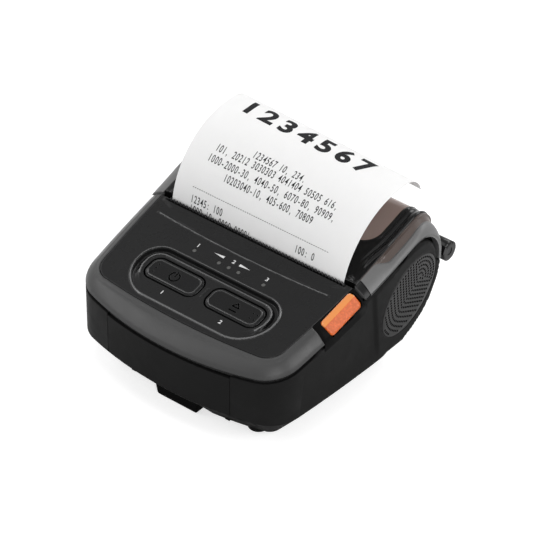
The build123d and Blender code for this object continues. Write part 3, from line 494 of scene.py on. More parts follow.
def paper(name, color):
    """Smooth coated paper with faint fibres, lit a little from behind."""
    nodes = Nodes(name)
    fibres = nodes.noise(1, 5, 0.6, nodes.stretched((700, 260, 260)))
    values = {
        "Specular IOR Level": 0.3,
        "Subsurface Weight": 0.5,
        "Subsurface Scale": 0.6 * mm,
        "Subsurface Radius": (1.0, 1.0, 1.0),
    }
    return nodes.shade(nodes.tint(fibres, color, 0.012), 0.55, nodes.bump(fibres, 0.06, 0.02), values)


def wound_paper(name, color):
    """Paper or card in turns, with a fine grain."""
    nodes = Nodes(name)
    turns = nodes.noise(900, 2, 0.5)
    return nodes.shade(nodes.tint(turns, color, 0.04), 0.7, nodes.bump(turns, 0.1, 0.03))


def ink(name):
    """Thermal print: nearly black, with the faint rows of the print head."""
    nodes = Nodes(name)
    rows = nodes.noise(1, 2, 0.5, nodes.stretched((8000, 900, 900)))
    base = nodes.tint(rows, (0.010, 0.010, 0.011), 0.4)
    return nodes.shade(base, 0.6, None, {"Specular IOR Level": 0.15})


def smoked(name):
    """Brown plastic that shows a little of what is behind it."""
    nodes = Nodes(name)
    base = nodes.tint(nodes.noise(120, 3), (0.31, 0.228, 0.2), 0.08)
    gloss = nodes.ramp(nodes.noise(400, 4), 0.16, 0.24)
    normal = nodes.bump(nodes.noise(1500, 2), 0.05, 0.03)
    return nodes.shade(base, gloss, normal, {"Transmission Weight": 0.25, "IOR": 1.45})


def circuit_board(name):
    """Green lacquered board with faint copper areas."""
    nodes = Nodes(name)
    values = {
        "Scale": 160,
        "Mortar Size": 0.03,
        "Color1": (0.012, 0.10, 0.035, 1),
        "Color2": (0.018, 0.15, 0.05, 1),
        "Mortar": (0.03, 0.21, 0.08, 1),
    }
    areas = nodes.add("ShaderNodeTexBrick", values, {"Vector": nodes.place})
    return nodes.shade(areas.outputs["Color"], nodes.ramp(nodes.noise(300), 0.25, 0.4))


# Numbers of a plastic: roughness, grain, grain scale, edge softening, mottling and specular level
cover_black = plastic("cover_black", (0.0035, 0.0035, 0.0036), 0.16, 0.01, 900, 0, 0.1, 0.2)
grille_black = plastic("grille_black", (0.013, 0.013, 0.013), 0.45, 0.1, 2200, 0.1, 0.1, 0.3)
cover_trim_grey = plastic("cover_trim_grey", (0.1, 0.1, 0.1003), 0.42, 0.3, 2300, 0.3, 0.06, 0.4)
# Lighter grey for the deck's ridge crests: a painted highlight
ridge_painted_highlight = plastic("ridge_painted_highlight", (0.075, 0.075, 0.076), 0.24, 0.04, 3000, 0, 0.1, 0.5)
# Lighter black for the lip round each key top: a painted highlight
key_lip_painted_highlight = plastic("key_lip_painted_highlight", (0.022, 0.022, 0.0223), 0.2, 0.03, 3000, 0, 0.1, 0.5)
# Paler orange for the latch's inner facet: a painted sheen
orange_painted_sheen = plastic("orange_painted_sheen", (0.66, 0.225, 0.05), 0.22, 0.1, 1900, 0.25, 0.05, 0.6)
# Near-black painted into engraved signs and grille dimples: painted shade
hole_painted_shade = plastic("hole_painted_shade", (0.0015, 0.0015, 0.0015), 0.8, 0.1, 2200, 0, 0.1, 0.0)
# Dull black: the own colour of the clip and the latch surround, and painted shade on the case's downward
# faces
black_and_underside_shade = plastic("black_and_painted_underside_shade", (0.003, 0.003, 0.003), 0.45, 0.15, 2200, 0, 0.1, 0.03)
strip_brown = plastic("strip_brown", (0.060, 0.044, 0.038), 0.3, 0.2, 1500, 0, 0.25, 0.4)
mark_white = plastic("mark_white", (0.62, 0.62, 0.62), 0.5, 0.02, 2600, 0.02)
dark_steel = metal("oxide_steel", (0.035, 0.035, 0.036), 0.42)
print_ink = ink("print_ink")
strip_paper = paper("strip_white", (0.86, 0.86, 0.858))

# Material of each slot
finishes = {
    "black_plastic": plastic("case_black", (0.0075, 0.0075, 0.0075), 0.5, 0.22, 2200, 0.35, 0.1, 0.06),
    "panel_plastic": plastic("panel_black", (0.0065, 0.0065, 0.0067), 0.28, 0.10, 3000, 0, 0.1, 0.16),
    "grey_band": plastic("trim_grey", (0.033, 0.033, 0.0332), 0.4, 0.3, 2300, 0.3, 0.06, 0.32),
    "orange_plastic": mottled("button_orange", (0.55, 0.092, 0.004), 0.36),
    "key_rubber": plastic("key_black", (0.004, 0.004, 0.0042), 0.24, 0.03, 2600, 0, 0.1, 0.15),
    "smoked_window": smoked("smoked_brown"),
    "steel": metal("bright_steel", (0.55, 0.55, 0.56), 0.32),
    "aluminium": metal("extruded_aluminium", (0.68, 0.68, 0.70), 0.4, (12, 500, 500)),
    "ceramic": plastic("glazed_ceramic", (0.70, 0.67, 0.62), 0.15, 0.03),
    "rubber": rubbery("black_rubber", (0.005, 0.005, 0.005), 0.75),
    "gear_plastic": plastic("natural_nylon", (0.72, 0.70, 0.64), 0.45, 0.06),
    "paper": wound_paper("paper_roll_white", (0.84, 0.84, 0.83)),
    "card": wound_paper("core_card", (0.42, 0.31, 0.20)),
    "board": circuit_board("lacquered_board"),
    "light_pipe": plastic("frosted_pipe", (0.055, 0.055, 0.052), 0.4, 0.05),
    "brass": metal("plated_brass", (0.78, 0.58, 0.26), 0.3),
    "cell_plastic": plastic("cell_black", (0.03, 0.03, 0.032), 0.5, 0.2, 2200, 0.3, 0.1, 0.3),
}
dark_nodes = ("tear_bar", "hinge_rod")
node_slots = {part["node"]: part["material_slot"] for part in frame["record"]["subparts"]}
for node, item in frame["nodes"].items():
    item.data.materials.clear()
    item.data.materials.append(dark_steel if node in dark_nodes else finishes[node_slots[node]])


# Control deck


def deck_place(place):
    """Coordinates on the deck: across, along the slope from the keys, and height."""
    run = place - deck_centre
    return place.x, run.dot(deck_along), run.dot(deck_up)


def moat_distance(x, v):
    """Distance outside the ridge round the keys."""
    v -= moat_shift
    radius = moat_rear_corner if v > 0 else moat_front_corner
    return box_distance(x, v, moat_half_length, moat_half_width, radius)


def step_lines(x, v):
    """Y of a place on the deck, and of the crescent step's front line there."""
    return key_y + v * cos(deck_slope), step_front_y + step_bow * x * x


def deck_height(x, v):
    """Sculpted height of the deck above its plane."""
    gap = moat_distance(x, v)
    rear = smooth_step(-9, 1, v)
    height = ridge_height * hump(gap, ridge_half)
    if gap < 0:
        groove = mix(0.3, 1.5, rear)
        fall = smooth_step(0.3, 0.9, -gap)
        rise = smooth_step(mix(1.2, 2.2, rear), mix(2.0, 2.8, rear), -gap)
        height += mix(-groove * fall, plateau, rise)
    height += inner_ridge_height * rear * hump(gap + inner_ridge_gap, ridge_half)
    y, front = step_lines(x, v)
    if y > front - step_bead_reach and abs(x) < step_half:
        height += 0.3 * hump(y - front + step_bead_gap, step_bead_half)
    if front < y < step_rear_y + 0.4:
        share = (step_rear_y - y) / max(step_rear_y - front, 0.05)
        height -= step_depth * smooth_step(-0.3, 1.0, share)
    ledge = -4.4 + 1.6 * smooth_step(36, 42, abs(x))
    rise = smooth_step(ledge - 0.7, ledge + 0.5, y)
    height += 0.35 * rise * smooth_step(0, 2, 43 - abs(x))
    mark = box_distance(x - 0.2, v, *mark_box)
    return height + 0.3 * smooth_step(0.15, -0.15, mark)


def on_painted_highlight(x, v):
    """Whether a place is on a ridge crest that gets a painted highlight."""
    outer_crest, inner_crest, step_crest_half = 0.15, -3.1, 0.2
    gap = moat_distance(x, v)
    y, front = step_lines(x, v)
    on_step = abs(y - front + step_bead_gap) < step_crest_half and abs(x) < step_half - 1
    on_inner = abs(gap - inner_crest) < crest_highlight_half and v > -5
    return abs(gap - outer_crest) < crest_highlight_half or on_inner or on_step


def make_deck():
    """Control panel with its ridges, groove, plateau and crescent step, and painted highlights on the ridge
    crests.
    """
    moat_clear = 1.5
    bm = cad_mesh("upper_case")
    verts, rim = regrid(bm, facing(bm, deck_up, deck_centre, 0.3, -1.4, 0.1), deck_up, deck_spacing)
    outer = []
    for vert in rim:
        x, v, _ = deck_place(vert.co)
        lamp_gap = min(hypot(x - lamp, vert.co.y - lamp_y) for lamp in lamp_places)
        if moat_distance(x, v) > moat_clear and lamp_gap > lamp_clear:
            outer.append(vert)
    to_edge = distance_to(outer)
    for vert in verts:
        x, v, height = deck_place(vert.co)
        vert.co += deck_up * (deck_height(x, v) - rounding(to_edge(vert.co), deck_edge) - height)
    bm.normal_update()
    # Faces on the ridge crests get a lighter material: a painted highlight
    for face in facing(bm, deck_up, deck_centre, 0.2, -1.6):
        x, v, _ = deck_place(face.calc_center_median())
        if on_painted_highlight(x, v):
            face.material_index = 1
    materials = [finishes["panel_plastic"], ridge_painted_highlight]
    add_piece("control_panel", bm, "base", materials, ["upper_case"])


def key_height(x, v, icon):
    """Height of a key's top about the top of its frame node."""
    drop, edge_drop, edge_width = 0.4, 0.8, 0.9
    gap = -box_distance(x, v, *key_box)
    height = -drop - edge_drop * rounding(gap, edge_width)
    height += 0.2 * hump(gap - 1.25, 0.4) - 0.05 * smooth_step(1.2, 1.5, gap)
    return height + icon(x, v)


def stroke(distance, half):
    """Height of an engraved line with soft flanks."""
    return -sign_depth * smooth_step(half + 0.12, half - 0.05, distance)


def segment_distance(x, y, start, end):
    """Distance to a straight line between two points."""
    start_x, start_y = start
    run_x, run_y = end[0] - start_x, end[1] - start_y
    length = run_x**2 + run_y**2
    share = min(1.0, max(0.0, ((x - start_x) * run_x + (y - start_y) * run_y) / length))
    return hypot(x - start_x - share * run_x, y - start_y - share * run_y)


def pits(x, y, places):
    """Depth of small round pits at some places."""
    return sum(sign_depth * hump(hypot(x - u, y - v), pit_radius) for u, v in places)


def power_icon(x, y):
    """Ring with a gap and an upright line, and three pits at the outer end."""
    ring = abs(hypot(x, y) - 2.0)
    if y > 0 and abs(x) < 0.75:
        ring = far_off
    bar = segment_distance(x, y, (0, 0.3), (0, 2.4))
    return stroke(min(ring, bar), 0.22) - pits(x, y, [(-8.6, -1.9), (-8.6, 0.0), (-8.6, 1.9)])


def feed_icon(x, y):
    """Triangle over a line, and four pits at the outer end."""
    tip, left, right = (0, 2.1), (-1.5, 0.2), (1.5, 0.2)
    lines = [(tip, left), (tip, right), (left, right), ((-1.5, -1.7), (1.5, -1.7))]
    near = min(segment_distance(x, y, start, end) for start, end in lines)
    return stroke(near, 0.2) - pits(x, y, [(7.4, -1.2), (7.4, 1.2), (9.2, -1.2), (9.2, 1.2)])


def make_key(node, centre_x, icon):
    """Key with a rolled edge and an engraved sign, painted near-black in the sign as shade and lighter on
    its lip as a highlight.
    """
    bm = cad_mesh(node)
    level = max(deck_place(vert.co)[2] for vert in bm.verts)
    verts, _ = regrid(bm, facing(bm, deck_up, deck_centre, 0.02, level - 1.0), deck_up, key_spacing)
    for vert in verts:
        x, v, height = deck_place(vert.co)
        vert.co += deck_up * (level + key_height(x - centre_x, v, icon) - height)
    bm.normal_update()
    # Engraved signs get a near-black material as painted shade, and the lip round the top a lighter one as a
    # painted highlight
    for face in facing(bm, deck_up, deck_centre, 0.2, level - 1.4):
        x, v, _ = deck_place(face.calc_center_median())
        inside = -box_distance(x - centre_x, v, *key_box)
        if icon(x - centre_x, v) < -0.12:
            face.material_index = 2
        elif abs(inside - 1.2) < 0.2:
            face.material_index = 1
    body = frame["nodes"][node]["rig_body"]
    materials = [finishes["key_rubber"], key_lip_painted_highlight, hole_painted_shade]
    add_piece(node + "_cap", bm, body, materials, [node], 50)


def make_band(node, name, finish):
    """Sloping band with a convex face and rounded edges."""
    bm = cad_mesh(node)

    def on_slope(middle, normal):
        return normal.z > 0.25 and middle.z > deck_z(middle.y) - band_drop - 0.2

    def on_skirt(middle, normal):
        return abs(normal.x) > 0.7 and middle.z < deck_z(middle.y) - band_drop + 0.3

    verts, rim = regrid(bm, pick(bm, on_slope), Vector((0, 0, 1)), 0.5)
    share = {vert: (deck_z(vert.co.y) - vert.co.z) / band_drop for vert in rim}
    to_top = distance_to([vert for vert in rim if share[vert] < 0.1])
    to_low = distance_to([vert for vert in rim if share[vert] > 0.8])
    for vert in verts:
        near, far = to_top(vert.co), to_low(vert.co)
        bulge = 0.85 * sin(pi * near / (near + far + 1e-6)) ** 0.8
        bulge -= 0.22 * hump(near - 1.9, 0.5)
        vert.co.z += bulge - rounding(far, 0.8) * 0.8 - rounding(near, 0.4) * 0.4
    paint(bm, 1, on_skirt)
    add_piece(name, bm, "base", [finish, black_and_underside_shade], [node])


def make_latch():
    """Release button, mottled, whose inner facet is painted paler as a sheen."""
    bm = cad_mesh("latch_button")
    level = max(vert.co.dot(latch_out) for vert in bm.verts)
    across = latch_out.cross(latch_along)

    def on_inner_facet(middle, normal):
        return middle.dot(across) - centre > latch_fold and middle.dot(latch_out) > level - 1.6

    top = facing(bm, latch_out, Vector((0, 0, 0)), 0.2, level - 1.2)
    verts, _ = regrid(bm, top, latch_out, 0.25, latch_along)
    centre, half_across = span([vert.co.dot(across) for vert in verts])
    centre_along, half_along = span([vert.co.dot(latch_along) for vert in verts])
    for vert in verts:
        w = vert.co.dot(across) - centre
        u = vert.co.dot(latch_along) - centre_along
        edge = -box_distance(u, w, half_along, half_across, latch_corner)
        fold = w - latch_fold
        height = -0.34 * max(fold, 0) - 0.10 * max(-fold, 0) - 0.02
        height -= rounding(edge, 0.5) * 0.8
        vert.co += latch_out * (level + height - vert.co.dot(latch_out))
    # The inner facet gets the paler orange: a painted sheen
    paint(bm, 1, on_inner_facet)
    materials = [finishes["orange_plastic"], orange_painted_sheen]
    add_piece("latch_cap", bm, "latch_key", materials, ["latch_button"], 50)


# Lower case


def side_inset(y, z, edge_gap):
    """How far the side wall is dished in at a place."""
    inset = rounding(edge_gap, wall_edge)
    crease_y = wall_crease_y + wall_crease_lean * (wall_top - z)
    ahead = crease_y - y
    if ahead > 0:
        shade = smooth_step(0, 1.3, ahead) * (1 - smooth_step(3, 34, ahead))
        inset += dish_depth * shade * smooth_step(13, 22, z)
    return inset


def refine_drum(bm):
    """Cut the drum's facets finely and put their corners back on its round surface."""
    axis = Vector((0, drum_y, drum_z))

    def radius_at(place):
        return hypot(place.y - drum_y, place.z - drum_z)

    def on_drum(face):
        low, high = drum_radius - 0.4, drum_radius + 0.05
        return all(low < radius_at(vert.co) < high and vert.co.y > 0 for vert in face.verts)

    for degrees in range(-115, 23, 3):
        angle = radians(degrees)
        normal = Vector((0, -sin(angle), cos(angle)))
        ahead = normal.cross(across_x)
        faces = [face for face in bm.faces if on_drum(face)]
        faces = [face for face in faces if (face.calc_center_median() - axis).dot(ahead) > 0]
        edges = {edge for face in faces for edge in face.edges}
        verts = {vert for face in faces for vert in face.verts}
        parts = list(verts) + list(edges) + faces
        bmesh.ops.bisect_plane(bm, geom=parts, dist=0.01, plane_co=axis, plane_no=normal)
    for face in bm.faces:
        if not on_drum(face):
            continue
        for vert in face.verts:
            reach = Vector((0, vert.co.y - drum_y, vert.co.z - drum_z))
            if abs(reach.length - drum_radius) < 0.15:
                spot = axis + reach.normalized() * drum_radius
                vert.co.y, vert.co.z = spot.y, spot.z
    bm.normal_update()


def make_lower_case():
    """Lower case with rounded disc edges and dished side panels."""
    bm = cad_mesh("lower_case")
    refine_drum(bm)

    def on_wall(middle, normal):
        if middle.z <= crease_z - 0.1 or middle.y <= dish_start_y:
            return False
        return normal.x * side >= 0.85 and abs(middle.x - side * side_x(middle.y)) <= 0.35

    def on_outline(place):
        on_drum = abs(hypot(place.y - drum_y, place.z - drum_z) - drum_radius) < 0.1
        clear = hypot(place.y - grille_y, place.z - grille_z) > 18
        return (on_drum and place.y > drum_y) or (place.y > -0.5 and place.z > drum_z and clear)

    def on_barrel(middle, normal):
        gap = hypot(middle.y - hinge_y, middle.z - hinge_z)
        return gap < barrel_radius + 0.1 and abs(middle.x) > barrel_inner_x

    for side in (1, -1):
        verts, rim = regrid(bm, pick(bm, on_wall), Vector((side, 0, 0)), 0.8, Vector((0, 1, 0)))
        to_edge = distance_to([vert for vert in rim if on_outline(vert.co)])
        for vert in verts:
            fade = smooth_step(dish_start_y, dish_end_y, vert.co.y)
            vert.co.x -= side * side_inset(vert.co.y, vert.co.z, to_edge(vert.co)) * fade
    # Faces that look down get the dull black: painted shade, kept dark over the bright floor
    paint(bm, 2, lambda middle, normal: normal.z < -0.2)
    paint(bm, 1, on_barrel)
    materials = [finishes["black_plastic"], cover_black, black_and_underside_shade]
    add_piece("case_lower", bm, "base", materials, ["lower_case"], 35)


def make_clip():
    """Belt clip with rounded edges, cut in metres."""
    lip_y, sharp_angle, edge_width = -36 * mm, radians(25), 0.6 * mm
    bm = cad_mesh("belt_clip")
    bm.transform(Matrix.Scale(mm, 4))
    bmesh.ops.dissolve_limit(bm, angle_limit=radians(1), verts=bm.verts, edges=bm.edges)
    sharp = []
    for edge in bm.edges:
        ahead = max(vert.co.y for vert in edge.verts) < lip_y
        if ahead and len(edge.link_faces) == 2 and edge.calc_face_angle() > sharp_angle:
            sharp.append(edge)
    bmesh.ops.bevel(
        bm, geom=sharp, offset=edge_width, segments=4, profile=0.5, affect="EDGES", clamp_overlap=True
    )
    bm.transform(Matrix.Scale(1 / mm, 4))
    add_piece("belt_clip_rounded", bm, "clip", black_and_underside_shade, ["belt_clip"])


# Grilles


def dot_rows():
    """Dot centres on the oval: nested angles below, nested arcs round the upper end."""
    lean = tan(row_lean)
    row_step = row_pitch / cos(row_lean)
    dots = []
    first = -grille_half_long + 0.95
    for row in range(17):
        start = first + row * row_step
        if start > arc_centre - 0.3 * row_step:
            break
        round_off = mix(5.5, 0.25, smooth_step(-16, -4, start))
        for side in (1, -1):
            across = dot_pitch / 2 if round_off > 1 or row % 2 else dot_pitch
            if across == dot_pitch and side == 1:
                dots.append((start, 0.0))
            while across < grille_half_wide:
                reach = hypot(across, round_off)
                dots.append((start + lean * (reach - round_off), side * across))
                across += dot_pitch / hypot(1, lean * across / reach)
    for ring in range(8):
        radius = (ring + 0.35) * row_pitch
        count = max(1, round(2 * arc_turn * radius / dot_pitch))
        for number in range(count):
            angle = arc_turn * (2 * (number + 0.5) / count - 1)
            dots.append((arc_centre + radius * cos(angle), radius * sin(angle)))
    kept = []
    for along, across in dots:
        half = grille_half_wide - (0.8 if across > 0 else 1.3)
        edge = hypot(along / (grille_half_long - 0.8), across / half)
        clear = all(hypot(along - u, across - v) > 2.1 * dot_radius for u, v in kept)
        if edge < 1 and clear:
            kept.append((along, across))
    return kept


def fill_between(bm, loops, flat, keep):
    """Fill a flat area that closed loops of points bound, where keep says so."""
    points, edges, verts = [], [], []
    for loop in loops:
        start = len(points)
        points += [flat(vert) for vert in loop]
        verts += loop
        edges += [(start + number, start + (number + 1) % len(loop)) for number in range(len(loop))]
    coords, _, triangles, sources, _, _ = delaunay_2d_cdt(points, edges, [], 0, 1e-6)
    for triangle in triangles:
        middle = sum((coords[number] for number in triangle), Vector((0, 0))) / 3
        if keep(middle):
            bm.faces.new([verts[sources[number][0]] for number in triangle])


def bridge(bm, first, second):
    """Quads between two rings of the same count."""
    count = len(first)
    faces = []
    for number in range(count):
        after = (number + 1) % count
        faces.append(bm.faces.new([first[number], first[after], second[after], second[number]]))
    return faces


def make_grille(node, side):
    """Oval insert with rows of round dimples, painted near-black inside as shade."""
    bm = bmesh.new()
    centre = Vector((side * half_width, grille_y, grille_z))
    along = Vector((0, cos(grille_tilt), sin(grille_tilt)))
    across = Vector((0, -sin(grille_tilt), cos(grille_tilt)))
    half_long, half_wide = grille_half_long + grille_gap, grille_half_wide + grille_gap
    edge = 0.02
    rim_points, dot_points = 144, 12

    def ring(place, half_along, half_across, depth, count):
        verts = []
        for number in range(count):
            angle = 2 * pi * number / count
            u = place[0] + half_along * cos(angle)
            v = place[1] + half_across * sin(angle)
            verts.append(bm.verts.new(centre + along * u + across * v - Vector((side * depth, 0, 0))))
        return verts

    def flat(vert):
        return Vector(((vert.co - centre).dot(along), (vert.co - centre).dot(across)))

    dots = dot_rows()
    tree = point_tree([(*dot, 0) for dot in dots])
    rim = ring((0, 0), half_long - edge, half_wide - edge, 0, rim_points)
    shoulder = ring((0, 0), half_long, half_wide, edge, rim_points)
    back = ring((0, 0), half_long, half_wide, grille_thick, rim_points)
    bridge(bm, rim, shoulder)
    bridge(bm, shoulder, back)
    bm.faces.new(back)
    mouths = []
    for dot in dots:
        mouth = ring(dot, dot_radius, dot_radius, 0, dot_points)
        floor = ring(dot, dot_radius * 0.7, dot_radius * 0.7, dot_depth, dot_points)
        # The dimples' walls and floors get the near-black material: painted shade
        for face in bridge(bm, mouth, floor) + [bm.faces.new(floor)]:
            face.material_index = 1
        mouths.append(mouth)
    fill_between(bm, [rim] + mouths, flat, lambda place: tree.find(place.to_3d())[2] > dot_radius * 0.95)
    bmesh.ops.recalc_face_normals(bm, faces=bm.faces)
    add_piece(node + "_dimpled", bm, "base", [grille_black, hole_painted_shade], [node], 60)


# Cover


def shoulder_centre(line):
    """Centre of the round shoulder in a side view of the cover."""
    joint_z, slope, radius, rear = line
    centre_y = rear - radius
    return centre_y, joint_z + (centre_y - joint_y) * tan(slope) - radius / cos(slope)


def cover_normal(place, reach):
    """Outward direction of the cover's surface at a point near it, or None elsewhere."""
    joint_z, slope, radius, rear = cover_line
    centre_y, centre_z = shoulder_centre(cover_line)
    if place.y < centre_y - radius * sin(slope):
        gap = place.z - joint_z - (place.y - joint_y) * tan(slope)
        out = Vector((0, -sin(slope), cos(slope)))
    elif place.z > centre_z:
        out = Vector((0, place.y - centre_y, place.z - centre_z))
        gap = out.length - radius
        out.normalize()
    else:
        gap = place.y - rear
        out = Vector((0, 1, 0))
    return out if abs(gap) < reach else None


def cover_relief(place):
    """Height of the beads and valleys along the cover's sides, and of its front bumps."""
    x, y = abs(place.x), place.y
    gap = box_distance(x, y - 60, window_half, 60 - window_front, window_corner)
    rise = smooth_step(6, 12, y)
    bead = mix(41.9, 43.6, smooth_step(9, 24, y))
    height = 0.5 * hump(x - bead, 0.85) * rise
    height -= 0.4 * hump(x - bead + 1.9, 1.3) * (smooth_step(34, 38, x) * rise)
    height += 0.3 * hump(gap - 0.75, 0.55)
    return height + 0.9 * hump(hypot(x - 41.1, y - 2.0), 1.35)


def make_cover():
    """Black cover frame with its ridges."""
    bm = cad_mesh("cover_frame")
    lean = Vector((0, 0.6, 0.8))

    def on_top(middle, normal):
        upward = normal.dot(lean) >= 0.35 and abs(normal.x) < 0.3
        return upward and abs(middle.x) <= cover_half and cover_normal(middle, 0.15)

    verts, _ = regrid(bm, pick(bm, on_top), lean, 0.4)
    for vert in verts:
        out = cover_normal(vert.co, 1)
        if out:
            vert.co += out * cover_relief(vert.co)
    add_piece("cover_shell", bm, "cover", cover_black, ["cover_frame"])


def line_place(line, leg, share, inset=0.0):
    """Point on a side view: leg 0 is its slope, 1 its shoulder and 2 its rear."""
    joint_z, slope, radius, rear = line
    centre_y, centre_z = shoulder_centre(line)
    radius -= inset
    if leg == 0:
        end_y = centre_y - radius * sin(slope)
        start_z = joint_z - joint_y * tan(slope) - inset / cos(slope)
        end_z = centre_z + radius * cos(slope)
        return mix(0.0, end_y, share), mix(start_z, end_z, share)
    if leg == 1:
        angle = (pi / 2 + slope) * (1 - share)
        return centre_y + radius * cos(angle), centre_z + radius * sin(angle)
    return rear - inset, mix(centre_z, cover_low, share)


def trim_place(leg, along, share):
    """Point of the trim's sloping face, from its inner edge at 0 to its outer edge at 1."""
    inner = line_place(cover_line, leg, along)
    outer = line_place(trim_line, leg, along)
    x = mix(trim_inner, min(trim_outer, side_x(outer[0]) - 0.05), share)
    return Vector((x, mix(inner[0], outer[0], share), mix(inner[1], outer[1], share)))


def strip_edge(place):
    """Share of the trim's width that the brown strip takes."""
    widening = mix(0.03, 0.5, smooth_step(9, 17, place.y))
    return widening * mix(1.0, 0.72, smooth_step(26, 40, place.y))


def trim_rows():
    """Leg and share of each row along the trim, with a close pair at its front step."""
    rows = [(0, number * 0.016) for number in range(6)]
    rows += [(0, mix(0.086, 1.0, number / 76)) for number in range(76)]
    rows += [(1, number / 44) for number in range(44)]
    return rows + [(2, number / 8) for number in range(9)]


def strip_height(near, edge):
    """Height of the brown strip, with a bead along its inner edge."""
    height = 0.35 * hump(near - 0.5, 0.5) - 0.25 * smooth_step(0.5, 1.2, near)
    return height * smooth_step(0.02, 0.2, edge)


def bulge_height(local, gap, rest):
    """Height of the grey face, from its share across and the distances to its two edges."""
    height = 0.65 * sin(pi * local) ** 0.7 - 0.7 * rounding(rest, 0.7)
    return height - 0.3 * (1 - smooth_step(0.0, 0.5, gap))


def make_cover_trim(node, side):
    """Trim with a brown inner strip and a bulging grey face, and a black front end on the right."""
    bm = bmesh.new()
    strip_columns, grey_columns = 7, 14
    step, front_drop, seam_inset, fold_x = 0.004, 0.35, 0.02, 48.3
    rings, fronts = [], []
    for leg, along in trim_rows():
        edge = strip_edge(trim_place(leg, along, 0.5))
        run = trim_place(leg, min(along + step, 1.0), 0.5) - trim_place(leg, max(along - step, 0.0), 0.5)
        face_edge = trim_place(leg, along, 1.0)
        run_across = face_edge - trim_place(leg, along, 0.0)
        out = run_across.cross(run).normalized()
        width = run_across.length
        front = leg == 0 and along < trim_front and side > 0
        tail = 1.0 if leg < 2 else 1.0 - along
        ring = []
        for column in range(strip_columns + grey_columns + 1):
            if column <= strip_columns:
                share = edge * column / strip_columns
                height = strip_height(share * width, edge)
            else:
                local = (column - strip_columns) / grey_columns
                share = mix(edge, 1.0, local)
                height = bulge_height(local, (share - edge) * width, (1 - share) * width)
            if front:
                height -= front_drop
            ring.append(trim_place(leg, along, share) + out * height * tail)
        seam = line_place(seam_line, leg, along, seam_inset)
        inner = line_place(trim_line, leg, along, trim_edge)
        ring += [(face_edge.x, *seam), (fold_x, *seam), (trim_inner, *inner)]
        rings.append([bm.verts.new((x * side, y, z)) for x, y, z in ring])
        fronts.append(front)
    for row, front in enumerate(fronts[:-1]):
        for number, face in enumerate(bridge(bm, rings[row], rings[row + 1])):
            if front:
                face.material_index = 1
            elif number < strip_columns:
                face.material_index = 2
    for ring in (rings[0], rings[-1]):
        bm.faces.new(ring)
    bmesh.ops.recalc_face_normals(bm, faces=bm.faces)
    materials = [cover_trim_grey, finishes["panel_plastic"], strip_brown]
    add_piece(node + "_smooth", bm, "cover", materials, [node])


# Paper


def strip_section(crest_z, travel):
    """Point of the strip's side view at one of its edges."""
    radius = ((crest_y - joint_y) ** 2 + (crest_z - exit_z) ** 2) / (2 * (crest_z - exit_z))
    centre_z = crest_z - radius
    start = atan2(exit_z - centre_z, joint_y - crest_y)
    if travel < exit_travel:
        return joint_y, mix(strip_start_z, exit_z, travel / exit_travel)
    if travel < crest_travel:
        angle = mix(start, pi / 2, share_between(exit_travel, crest_travel, travel))
        return crest_y + radius * cos(angle), centre_z + radius * sin(angle)
    if travel < tail_travel:
        return crest_y + crest_flat * share_between(crest_travel, tail_travel, travel), crest_z
    angle = pi / 2 - tail_turn * share_between(tail_travel, 1.0, travel)
    tail_y = crest_y + crest_flat + tail_radius * cos(angle)
    return tail_y, crest_z - tail_radius + tail_radius * sin(angle)


def strip_place(x, travel):
    """Point on the middle of the paper."""
    share = (x + paper_half) / (2 * paper_half)
    left = strip_section(crest_left, travel)
    right = strip_section(crest_right, travel)
    return Vector((x, mix(left[0], right[0], share), mix(left[1], right[1], share)))


def above_strip(x, travel, height):
    """Point at a height above the middle of the paper."""
    step = 0.002
    low = min(max(travel, step), 1 - step)
    along = strip_place(x, low + step) - strip_place(x, low - step)
    across = strip_place(x + 1, low) - strip_place(x - 1, low)
    return strip_place(x, travel) + across.cross(along).normalized() * height


def travel_table(steps=600):
    """Path length from the tear bar to each step of travel, along the middle."""
    lengths = [0.0]
    last = strip_place(0.0, 0.0)
    for number in range(1, steps + 1):
        place = strip_place(0.0, number / steps)
        lengths.append(lengths[-1] + (place - last).length)
        last = place
    offset = lengths[round(exit_travel * steps)]
    return [length - offset for length in lengths]


travel_lengths = travel_table()


def travel_at(length):
    """Travel at a path length above the tear bar."""
    steps = len(travel_lengths) - 1
    low, high = 0, steps
    while high - low > 1:
        middle = (low + high) // 2
        if travel_lengths[middle] > length:
            high = middle
        else:
            low = middle
    share = (length - travel_lengths[low]) / (travel_lengths[high] - travel_lengths[low])
    return (low + share) / steps


def make_strip():
    """Printed strip as a thin curved sheet."""
    bm = bmesh.new()
    columns, rows = 60, 160
    sheets = []
    for side in (0.5, -0.5):
        sheet = []
        for row in range(rows + 1):
            across = [mix(-paper_half, paper_half, column / columns) for column in range(columns + 1)]
            sheet.append([bm.verts.new(above_strip(x, row / rows, paper_thick * side)) for x in across])
        sheets.append(sheet)
    front, back = sheets
    for row in range(rows):
        for column in range(columns):
            quad = [(row, column), (row, column + 1), (row + 1, column + 1), (row + 1, column)]
            bm.faces.new([front[r][c] for r, c in quad])
            bm.faces.new([back[r][c] for r, c in reversed(quad)])
    border = [(0, column) for column in range(columns)]
    border += [(row, columns) for row in range(rows)]
    border += [(rows, column) for column in range(columns, 0, -1)]
    border += [(row, 0) for row in range(rows, 0, -1)]
    bridge(bm, [back[r][c] for r, c in border], [front[r][c] for r, c in border])
    bmesh.ops.recalc_face_normals(bm, faces=bm.faces)
    add_piece("paper_strip", bm, "cover", strip_paper, ["printed_strip"], 60)


